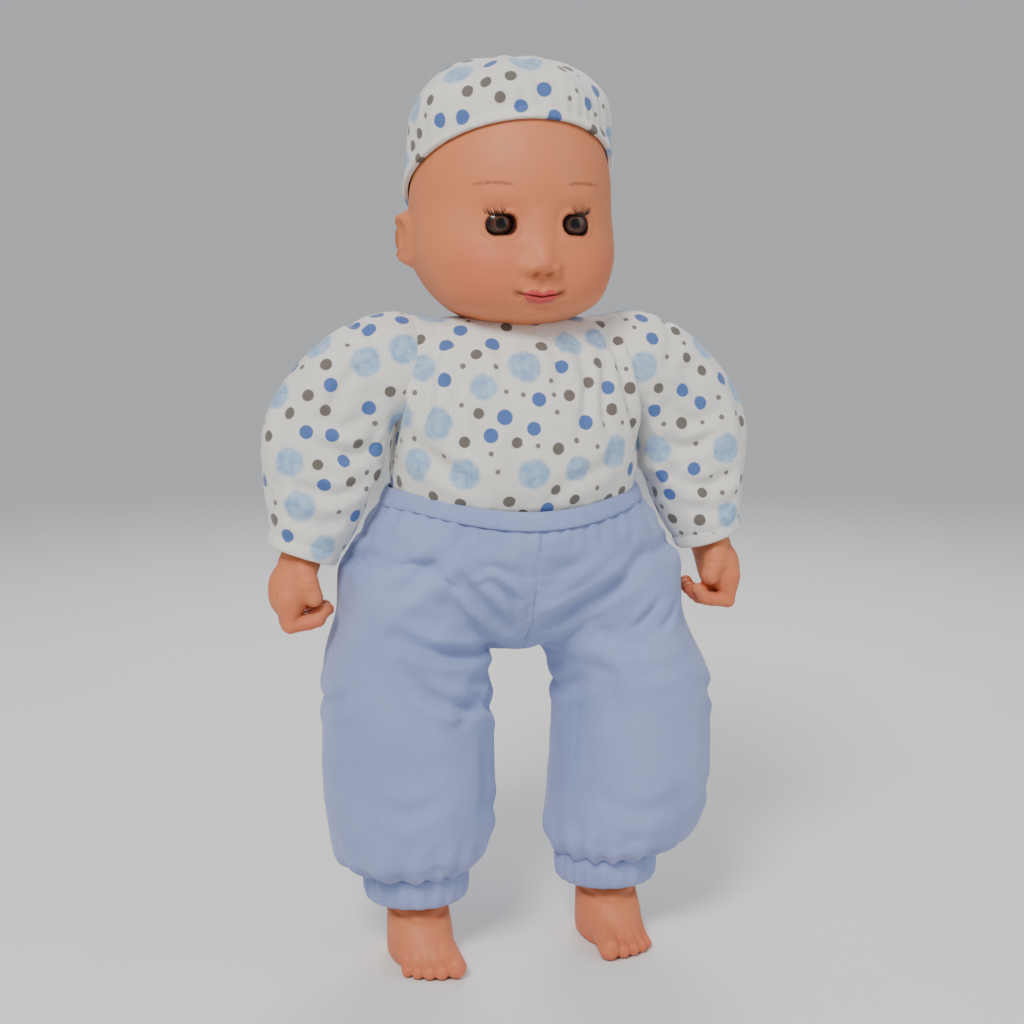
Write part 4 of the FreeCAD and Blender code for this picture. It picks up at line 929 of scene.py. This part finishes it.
def makeTrousers():
    # A seat and two legs, each a tube of ellipses, joined and puffed as one and creased. Then each point
    # moves along its normal: out and in by the gathers, cosines of the angle round each leg and round the
    # waist, and in by the groove of the seam down the middle.
    seat = gridPiece("seat", ring(trouserForm["seat"], 60, 96))
    spots = spotsOf(seat)
    spots[:, 2] += waistDip(spots[:, 0], spots[:, 1]) * ease(160, 184, spots[:, 2])
    moveSpots(seat, spots)
    legs = []
    for side, form in ((1, trouserForm["leg"]), (-1, flipped(trouserForm["leg"]))):
        leg = gridPiece("leg", ring(form, 70, 64))
        spots = spotsOf(leg)
        spots[:, 0] += trouserForm["sway"][side] * ease(132, 104, spots[:, 2]) * ease(36, 56, spots[:, 2])
        moveSpots(leg, spots)
        legs.append(leg)
    whole = joined([seat, *legs], "trousers")
    stuffed(whole, trousersHeld, smoothing=5)
    crease(whole, trouserForm["folds"])
    spots, normals = spotsOf(whole), normalsOf(whole)
    x, y, z = spots.T
    groove = trouserForm["seamDeep"] * bell(x, 0, trouserForm["seamWide"]) * ease(128, 133, z)
    turn, hipTurn = np.arctan2(y, np.abs(x) - 42), np.arctan2(y, x)
    low = ease(60, 40, z) * np.cos(trouserForm["gathers"] * turn + 1.3 * np.sin(3 * turn) + 0.04 * z)
    high = 0.5 * ease(164, 180, z) * np.cos(trouserForm["waistGathers"] * hipTurn + 2 * np.sin(5 * hipTurn))
    spots = spots + normals * (trouserForm["gatherDeep"] * (low + high) - groove)[:, None]
    beside = bell(z, 145, 12) * bell(y, 0, 18) * ease(58, 66, np.abs(x))  # room for the hands as they turn
    spots[:, 0] -= np.sign(x) * trouserForm["handRoom"] * beside
    moveSpots(whole, spots)
    return whole


trousers = makeTrousers()
for side, name in sides:
    leg = half(trousers, f"trousers_{name}", side, blueCotton)
    mapCloth(leg, [(side * x, y, z) for x, y, z in trouserForm["legAxis"]])
    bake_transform(leg)
    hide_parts(f"trouser_leg_{name}", f"leg_fill_{name}", *(["trouser_seat"] if side > 0 else []))
bpy.data.objects.remove(trousers)
print("trousers made")


capForm = {
    "rimFront": (-38.0, 329.9), "rimSlope": 27.0, "gap": 1.6, "thick": 1.1,
    # the soft crown stands fuller than the head: middle, half sizes and squareness
    "crown": (0.0, 2.6, 317.0), "crownHalf": (41.0, 43.2, 36.2), "crownSquare": 2.45,
    "rows": 70, "columns": 220, "hemWide": 5.0, "hemThick": 1.1,
    "pleats": (0.35, 38), "broadPleats": (0.8, 7), "hemPuckers": (0.12, 46),  # how deep, how many
    "sag": 1.2, "clothRound": 38, "clothDown": 78,  # the cloth's measures for a radian, and crown to rim
}


def rimHeight(y):  # the cap's rim is a sloping plane through the forehead and the nape
    frontY, frontZ = capForm["rimFront"]
    return frontZ - (y - frontY) * math.tan(math.radians(capForm["rimSlope"]))


def capCover(extra, rows, low, high):
    # Points over the skull from the crown to the rim: low and high are shares of the way to the rim.
    turns = np.linspace(0, 1, capForm["columns"] + 1)[:-1]
    points = headSurface(np.linspace(0.0, 0.75, 700), turns)
    points = points + gridNormals(points) * extra
    above = points[..., 2] - rimHeight(points[..., 1])
    last, columns = (above < 0).argmax(axis=0), np.arange(len(turns))
    start, end = above[last - 1, columns], above[last, columns]
    share = np.linspace(low, high, rows)[:, None]
    down = share * (last - 1 + start / (start - end))
    whole = np.clip(np.floor(down).astype(int), 0, len(points) - 2)
    part = (down - whole)[..., None]
    made = points[whole, columns] * (1 - part) + points[whole + 1, columns] * part
    return made, turns * 2 * pi, share


def makeCap():
    # The skull's surface, held off by a gap and eased out to a fuller crown: each point moves away from the
    # crown's middle until its squared-off distance is 1. Sines of the angle round it make the pleats.
    points, angle, share = capCover(capForm["gap"], capForm["rows"], 0.0, 1.0)
    away, power = (points - capForm["crown"]) / capForm["crownHalf"], capForm["crownSquare"]
    reach = np.hypot(away[..., 0], away[..., 1]) ** power + np.maximum(away[..., 2], 0) ** power
    slack = ease(1.0, 0.66, share) * np.maximum(reach ** (-1 / power) - 1, 0)
    points = points + (points - capForm["crown"]) * slack[..., None]
    # soft pleats rise from the rim; a few broad ones reach the crown
    deep, count = capForm["pleats"]
    fine = deep * np.sin(count * angle + 2.0 * np.sin(5 * angle))
    fine = fine * ease(0.55, 0.9, share) * ease(1, 0.93, share)
    deep, count = capForm["broadPleats"]
    broad = deep * np.sin(count * angle + 0.8 * np.sin(2 * angle) + 2.5 * share)
    broad = broad * ease(0.1, 0.45, share) * ease(1, 0.8, share)
    sag = capForm["sag"] * bell(share, 0.86, 0.1) * (0.6 + 0.4 * np.sin(5 * angle + 1.1))
    points = points + gridNormals(points) * (fine + broad + sag)[..., None]
    flat = together(np.append(angle, 2 * pi) * capForm["clothRound"], share * capForm["clothDown"])
    piece = gridPiece("capCloth", points, printedCotton, (True, False), flat)
    keepPlace(piece)
    wall = piece.modifiers.new("cloth", "SOLIDIFY")
    wall.thickness, wall.offset = capForm["thick"] * mm, -1
    return piece


def softStrip(name, line, out, up, swell, thick, wide, around, finish, shaped=lambda band: band):
    # A closed soft strip: a section that bulges outwards, of points (out, up), is carried along a line.
    turn = np.linspace(-pi / 2, pi / 2, 13)
    outer = together(thick * np.cos(turn) ** 0.6, wide / 2 * np.sin(turn))
    edge = wide / 2 - 0.3
    section = np.vstack([outer, [(-0.35, edge), (-0.35, 0.0), (-0.35, -edge)]])
    across, along = section[:, 0, None], section[:, 1, None]
    band = line[:, None] + out[:, None] * across * swell[:, None, None] + up[:, None] * along
    band = shaped(np.concatenate([band, band[:1]]))
    flat = together(np.linspace(0, wide * 2, len(section) + 1), around[:, None])
    piece = gridPiece(name, band, finish, (False, False), flat)
    applied(piece, "WELD", merge_threshold=0.00001)
    keepPlace(piece)
    return piece


def makeCapHem():
    # A soft strip along the cap's rim, turned to lie flat on the cloth, with puckers that are sines.
    points, angle, _ = capCover(capForm["gap"] + 0.2, 41, 0.9, 1.0)
    rim, wide = points[-1], capForm["hemWide"]
    up = unit(points[-9] - rim)
    out = np.cross(np.roll(rim, -1, axis=0) - np.roll(rim, 1, axis=0), up)
    out = unit(out * np.sign((out * (rim - rim.mean(axis=0))).sum(axis=1, keepdims=True)))
    deep, count = capForm["hemPuckers"]
    puckers = 1 + deep * np.sin(count * angle + 1.5 * np.sin(4 * angle))
    return softStrip("capHem", rim + up * wide * 0.46, out, up, puckers, capForm["hemThick"], wide,
                     np.append(angle, 2 * pi) * capForm["clothRound"], printedCotton)


cap, capHem = makeCap(), makeCapHem()
capDots = scatterDots(cap, dotSeeds["cap"])
for piece, node in ((cap, "cap"), (capHem, "cap_hem")):
    printOn(piece, capDots)
    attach(piece, "head")
    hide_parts(node)
print("cap made")


bandForm = {
    # middle, half width and depth, thickness, height, puckers and their depth, slope
    "neck": ((0, 0.4, 253.2), (18.2, 16.8), 1.9, 4.2, (30, 0.10), 0),
    "waist": ((0, 0.2, 186.4), (50.7, 39.2), 1.3, 7.0, (40, 0.08), 0.4),
    "wrist": ((83.1, 0, 168.0), (13.2, 12.8), 1.2, 6.4, (11, 0.06), 0),
    "ankle": ((40.2, 0, 30.6), (18.6, 18.4), 2.4, 12.6, (22, 0.12), 0),
}


def makeBand(name, form, side, finish, tilt=0.0, dip=None):
    # A gathered band: a soft strip carried round an ellipse, with puckers across it.
    middle, (halfX, halfY), thick, wide, (count, deep), slope = form
    turn = circle(192)
    line = together(halfX * np.sin(turn), halfY * np.cos(turn), 0)
    out = unit(line / (halfX**2, halfY**2, 1))
    wave = np.sin(count * turn + 1.4 * np.sin(3 * turn) + side)
    up = np.broadcast_to((0.0, 0.0, 1.0), line.shape)

    def shaped(band):  # wider towards the lower edge, dipped and tilted
        band[..., :2] *= 1 - slope * band[..., 2:] / halfX
        if dip:
            band[..., 2] += dip(band[..., 0], band[..., 1])
        lean = math.radians(tilt) * side
        x, y, z = np.moveaxis(band, -1, 0)
        cosine, sine = math.cos(lean), math.sin(lean)
        return together(x * cosine - z * sine, y, x * sine + z * cosine) + np.array(middle) * (side, 1, 1)

    return softStrip(name, line + out * (thick * deep * 0.6 * wave)[:, None], out, up, 1 + deep * wave, thick,
                     wide, np.append(turn, 2 * pi) * (halfX + halfY) / 2, finish, shaped)


neckBand = makeBand("neckBand", bandForm["neck"], 1, printedCotton)
printOn(neckBand, [])
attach(neckBand, "torso")
waistBand = makeBand("waistBand", bandForm["waist"], 1, blueCotton, dip=waistDip)
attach(waistBand, "torso")
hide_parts("waistband")
for side, name in sides:
    cuff = makeBand(f"sleeveHem_{name}", bandForm["wrist"], side, printedCotton, tilt=19)
    printOn(cuff, sleeveDots[name])
    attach(cuff, f"arm_{name}")
    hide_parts(f"wrist_cuff_{name}")
    cuff = makeBand(f"ankleBand_{name}", bandForm["ankle"], side, blueCotton)
    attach(cuff, f"leg_{name}")
    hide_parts(f"ankle_cuff_{name}")
print("bands made")


limbForm = {
    "step": 0.55, "groove": 0.7, "blend": 2.4, "thumbBlend": 1.8,
    # height, half width, half depth, side, back
    "palm": [(180.8, 7, 7.2, 83.5, 0), (169, 7.2, 7.4, 83.5, 0), (162, 8.4, 9.4, 85.2, 0),
        (155, 8.8, 11.2, 88, 0.3), (148, 7.8, 11.4, 89.2, 0.5), (142.5, 5.6, 10.2, 89.6, 0.5)],
    "thumb": [(84.8, -6.6, 162, 4.5), (83.4, -8.9, 155, 4.2), (81.3, -9.3, 149.8, 3.7)],
    # back, thickness, lowest height, side of the tip
    "fingers": [(-7.6, 2.8, 138.7, 77), (-2.5, 2.9, 138.1, 75.2), (2.6, 2.8, 138.5, 75.4),
        (7.4, 2.5, 139.7, 77.6)],
    "foot": [(36.4, 11.4, 11.6, 40, 0), (27, 12, 12.2, 40, 0), (23.4, 12.1, 12.4, 40, -0.1),
        (18, 12.4, 15.2, 40, -2.2), (12, 12.8, 18.8, 40, -4.4), (7.5, 12.9, 20.6, 40, -5.2),
        (3.5, 12.8, 20.4, 40, -5), (0, 12.6, 20.2, 40, -4.9)],
    # side, front, thickness
    "toes": [(31.6, -31.2, 4.2), (37.4, -31.2, 2.9), (42, -30.1, 2.7), (46.1, -28.1, 2.5),
        (49.6, -25.2, 2.2)],
}


def softUnion(first, second, reach):  # the nearer of two distances, rounded where they meet
    near = np.maximum(reach - np.abs(first - second), 0) / reach
    return np.minimum(first, second) - near * near * reach / 4


def merged(distances, reach):
    return reduce(lambda near, far: softUnion(near, far, reach), distances)


def rodAway(spots, line):  # distance to a rounded rod that tapers along its points (x, y, z, radius)
    parts = []
    for start, end in zip(np.array(line[:-1], float), np.array(line[1:], float)):
        run, away = end[:3] - start[:3], spots - start[:3]
        share = np.clip(away @ run / (run @ run), 0, 1)
        size = start[3] + share * (end[3] - start[3])
        parts.append(np.linalg.norm(away - share[:, None] * run, axis=1) - size)
    return merged(parts, 0.8)


def loftAway(spots, sections):  # distance to a body whose level sections are ellipses, flat at both ends
    rows = through(sections[::-1], np.linspace(0, 1, 80))
    wide, deep, side, back = (np.interp(spots[:, 2], rows[:, 0], rows[:, k]) for k in (1, 2, 3, 4))
    share = np.hypot((spots[:, 0] - side) / wide, (spots[:, 1] - back) / deep)
    ends = np.maximum(rows[0, 0] - spots[:, 2], spots[:, 2] - rows[-1, 0])
    return -softUnion((1 - share) * np.minimum(wide, deep), -ends, 3.0)


def handAway(spots):  # a palm with four curled fingers and a thumb
    fingers = [rodAway(spots, [(91, back, 149, size + 0.8), (90, back, low, size), (83, back, low + 1, size),
                               (79.5, back, low + 2, size), (tip, back, low + 5.4, size - 0.3)])
               for back, size, low, tip in limbForm["fingers"]]
    fist = merged([loftAway(spots, limbForm["palm"]), merged(fingers, limbForm["groove"])], limbForm["blend"])
    return softUnion(fist, rodAway(spots, limbForm["thumb"]), limbForm["thumbBlend"])


def footAway(spots):  # a foot with five toes
    toes = [rodAway(spots, [(side * 0.8 + 8, front + 12, 7, size + 0.8), (side, front, size + 0.25, size)])
            for side, front, size in limbForm["toes"]]
    return softUnion(loftAway(spots, limbForm["foot"]), merged(toes, limbForm["groove"]), limbForm["blend"])


def plate(spots, middle, reach):  # a small raised plate with a soft edge
    return ease(1.15, 0.85, np.linalg.norm((spots - middle) / reach, axis=1))


def handRelief(spots):  # nails, finger creases and the dimples over the knuckles
    x, y, z = spots.T
    rise = 0.35 * plate(spots, (80.9, -13.0, 149.6), (2.4, 1.6, 2.9))
    for back, size, low, tip in limbForm["fingers"]:
        rise += 0.3 * plate(spots, (tip - size + 0.2, back, low + 5.2), (1.3, size * 0.7, 2.2))
        rise -= 0.6 * plate(spots, (97.0, back, 150.5), (2.6, 1.3, 1.6))
    rise -= 0.35 * bell(z, 155.8, 0.8) * ease(-9, -12, y) * ease(88, 85, x)
    return rise - 0.4 * bell(z + 0.25 * (x - 84), 163.5, 1.5)


def footRelief(spots):  # toe nails, and creases across the toes and the ankle
    x, y, z = spots.T
    rise = -0.8 * bell(z - 0.15 * y, 21.5, 1.2) * ease(4, -6, y)
    for side, front, size in limbForm["toes"]:
        nail = (side, front - size * 0.62, size * 1.75 + 0.3)
        rise += 0.32 * plate(spots, nail, (size * 0.62, size * 0.5, size * 0.5))
        rise -= 0.3 * bell(y, front + 2.6, 0.7) * bell(x, side, size) * ease(size, size * 2, z)
    return rise


def softLimb(name, side, away, relief, low, high, finish):
    # The skin lies where the form's distance is nought, found on an even lattice of points.
    step, flip = limbForm["step"], np.array([side, 1.0, 1.0])
    low, high = low - 2 * step, high + 2 * step
    ticks = [np.arange(start, end, step) for start, end in zip(low, high)]
    lattice = np.stack(np.meshgrid(*ticks, indexing="ij"), axis=-1)
    values = away(lattice.reshape(-1, 3) * flip).reshape(lattice.shape[:3])
    grid = openvdb.FloatGrid(4.0)
    grid.copyFromArray(np.clip(values, -4, 4).astype(np.float32))
    spots, quads = grid.convertToQuads()
    piece = meshPiece(name, spots * step + low, quads.tolist(), finish)
    applied(piece, "SMOOTH", factor=0.5, iterations=1)
    outward(piece)
    spots = spotsOf(piece) * flip
    moveSpots(piece, spots * flip + normalsOf(piece) * (relief(spots) - away(spots))[:, None])
    piece.data.shade_smooth()
    return piece


def dressLimb(skin, place, colour, rough):  # warmer at the finger tips, toes and knuckles
    _, _, z = skin.parts(place)
    warm = skin.noise(place, 0.12, 2.0).fade(0.45, 0.7)
    tips = z.fade(152.0, 138.0) * z.fade(100.0, 120.0)
    toes = z.fade(14.0, 2.0)
    return skin.mix(warm * 0.25 + (tips + toes) * 0.3, colour, skinTones["blush"]), rough


limbSkin = vinylSkin("limbVinyl", dressLimb)
limbKinds = {"hand": (handAway, handRelief), "foot": (footAway, footRelief)}
for side, name in sides:
    for part, (away, relief) in limbKinds.items():
        low, high = (np.array(corner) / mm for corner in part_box(f"{part}_{name}"))
        limb = softLimb(f"{part}_{name}_vinyl", side, away, relief, low, high, limbSkin)
        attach(limb, f"{part}_{name}")
        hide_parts(f"{part}_{name}")
print("hands and feet made")


insideTones = {
    "steel": (paint(168, 170, 172), paint(196, 197, 198)),
    "white_plastic": (paint(226, 225, 220), paint(234, 233, 229)),
    "black_plastic": (paint(26, 26, 28), paint(38, 38, 40)),
    "button_pink": (paint(214, 84, 122), paint(222, 98, 134)),
    "tie_nylon": (paint(222, 221, 214), paint(232, 231, 226)),
    "closure_tape": (paint(224, 222, 216), paint(236, 235, 231)),
    "board_green": (paint(24, 92, 58), paint(32, 108, 70)), "copper": (paint(176, 112, 62),),
}


def steelFinish():  # drawn lines along the height, with duller patches
    steel = Finish("plainSteel", Metallic=1.0)
    place = steel.place()
    lines = steel.noise(steel.vector("MULTIPLY", place, (3.0, 3.0, 0.15)), 1.5, 3.0)
    colour = steel.mix(lines, *insideTones["steel"])
    return steel.made(colour, lines * 0.18 + 0.24 + steel.noise(place, 0.3) * 0.1, lines, 0.01)


def mouldedFinish(slot, rough):  # spark-textured moulded plastic
    moulded = Finish(slot + "Moulded")
    place = moulded.place()
    colour = moulded.mix(moulded.noise(place, 0.08, 2.0), *insideTones[slot])
    rough = moulded.noise(place, 0.9) * 0.12 + rough
    return moulded.made(colour, rough, moulded.noise(place, 3.5, 2.0, 0.6), 0.02)


def boardFinish():  # green lacquer over copper tracks that run up and across
    board = Finish("lacqueredBoard")
    place = board.place()
    x, _, z = board.parts(place)
    wander = board.noise(board.vector("SNAP", place, (4.0, 4.0, 4.0)), 0.7)
    upright = (x * 1.9 + wander * 6.0).wave().fade(0.86, 0.94)
    level = (z * 1.4 + wander * 6.0).wave().fade(0.9, 0.96)
    track = upright.most(level)
    lacquer = board.mix(board.noise(place, 0.2), *insideTones["board_green"])
    colour = board.mix(track * 0.45, lacquer, insideTones["copper"][0])
    return board.made(colour, 0.3 + board.noise(place, 0.8) * 0.08, track, 0.035)


def tapeFinish(slot, scale, deep):  # short loops or twisted strands
    tape = Finish(slot + "Woven", Sheen_Weight=0.25, Sheen_Roughness=0.5)
    place = tape.place()
    cells = tape.node("TexVoronoi", {"feature": "SMOOTH_F1"}, {"Vector": place, "Scale": scale})
    return tape.made(tape.mix(cells.fade(0.2, 0.7), *insideTones[slot]), cells * 0.2 + 0.6, cells, deep)


insideFinishes = {
    "steel": steelFinish(), "white_plastic": mouldedFinish("white_plastic", 0.42),
    "black_plastic": mouldedFinish("black_plastic", 0.38), "button_pink": mouldedFinish("button_pink", 0.34),
    "board_green": boardFinish(), "closure_tape": tapeFinish("closure_tape", 1.6, 0.12),
    "tie_nylon": tapeFinish("tie_nylon", 2.4, 0.06),
}
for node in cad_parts.values():
    slot = node.data.materials[0].name
    if slot in insideFinishes:
        node.data.materials[0] = insideFinishes[slot]

springForm = {"radius": 5.4, "wire": 0.42, "turns": 5.0, "height": 208.0, "start": -14.35, "end": -25.9}


def makeSpring(radius, wire, turns, height, start, end):
    # A round wire along a helix: the turn grows evenly, and the depth eases so that both end coils lie flat.
    share = np.linspace(0, 1, 321)[:, None]
    turn = 2 * pi * turns * share
    depth = start + (end - start) * np.interp(share, [0, 0.16, 0.84, 1], [0, 0.04, 0.96, 1])
    around = circle(10)
    reach = radius + wire * np.cos(around)
    points = together(reach * np.cos(turn), depth + wire * np.sin(around), height + reach * np.sin(turn))
    return gridPiece("pressSpring", points, insideFinishes["steel"])


spring = makeSpring(**springForm)
outward(spring)
spring.data.shade_smooth()
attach(spring, "torso")
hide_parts("button_spring")
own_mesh(spring)
print("inside finished")


studio = {
    "cameraPlace": (-0.178, -0.623, 0.275), "aim": (0.0, 0.0, 0.178), "lens": 58.0,
    "floorHalf": 2.2, "floorFade": (1500.0, 420.0), "room": (0.93, 0.95, 1.0, 1.0), "roomStrength": 0.5,
    # place, aim, size, power and colour
    "key": ((-0.75, -1.1, 1.45), (0, 0, 0.2), 0.6, 30, (1.0, 0.97, 0.93)),
    "fill": ((1.3, -1.0, 0.7), (0, 0, 0.18), 1.2, 5, (0.92, 0.96, 1.0)),
    "rim": ((0.5, 1.4, 1.1), (0, 0, 0.2), 0.8, 14, (1.0, 1.0, 1.0)),
}


def makeFloor():
    # A level disc: rings of growing radius round the middle.
    turns, reach = circle(48), np.array([[0.02], [0.2], [0.5], [1.0]])
    reach = reach * studio["floorHalf"] / mm
    spots = together(reach * np.cos(turns), reach * np.sin(turns), 0.0)
    finish = Finish("paleFloor", Roughness=0.85)
    tone = finish.noise(finish.place(), 0.01)
    material = finish.made(finish.mix(tone, paint(226, 225, 222), paint(232, 231, 229)))
    x, y, _ = finish.parts(finish.place())
    far = (x * x + y * y).root()
    finish.feed("Alpha", far.fade(*studio["floorFade"]))  # melts into the room's own tone
    floor = gridPiece("floor", spots, material, (True, False))
    if floor.data.polygons[0].normal.z < 0:
        floor.data.flip_normals()


def aimed(thing, place, aim):  # stands a lamp or the camera at a place, looking at its aim
    thing.location = place
    thing.rotation_euler = (Vector(aim) - Vector(place)).to_track_quat("-Z", "Y").to_euler()


def softLight(name, place, aim, size, power, colour):
    lamp = bpy.data.lights.new(name, "AREA")
    lamp.shape, lamp.size, lamp.energy, lamp.color = "DISK", size, power, colour
    aimed(linked(name, lamp), place, aim)


def makeStudio():
    makeFloor()
    world = bpy.data.worlds.new("softRoom")
    bpy.context.scene.world = world
    world.use_nodes = True
    ground = world.node_tree.nodes["Background"]
    ground.inputs[0].default_value, ground.inputs[1].default_value = studio["room"], studio["roomStrength"]
    for name in ("key", "fill", "rim"):
        softLight(name, *studio[name])
    camera = linked("camera", bpy.data.cameras.new("camera"))
    aimed(camera, studio["cameraPlace"], studio["aim"])
    camera.data.lens, camera.data.sensor_width, camera.data.clip_start = studio["lens"], 36.0, 0.02
    bpy.context.scene.camera = camera


makeStudio()
print("studio made")
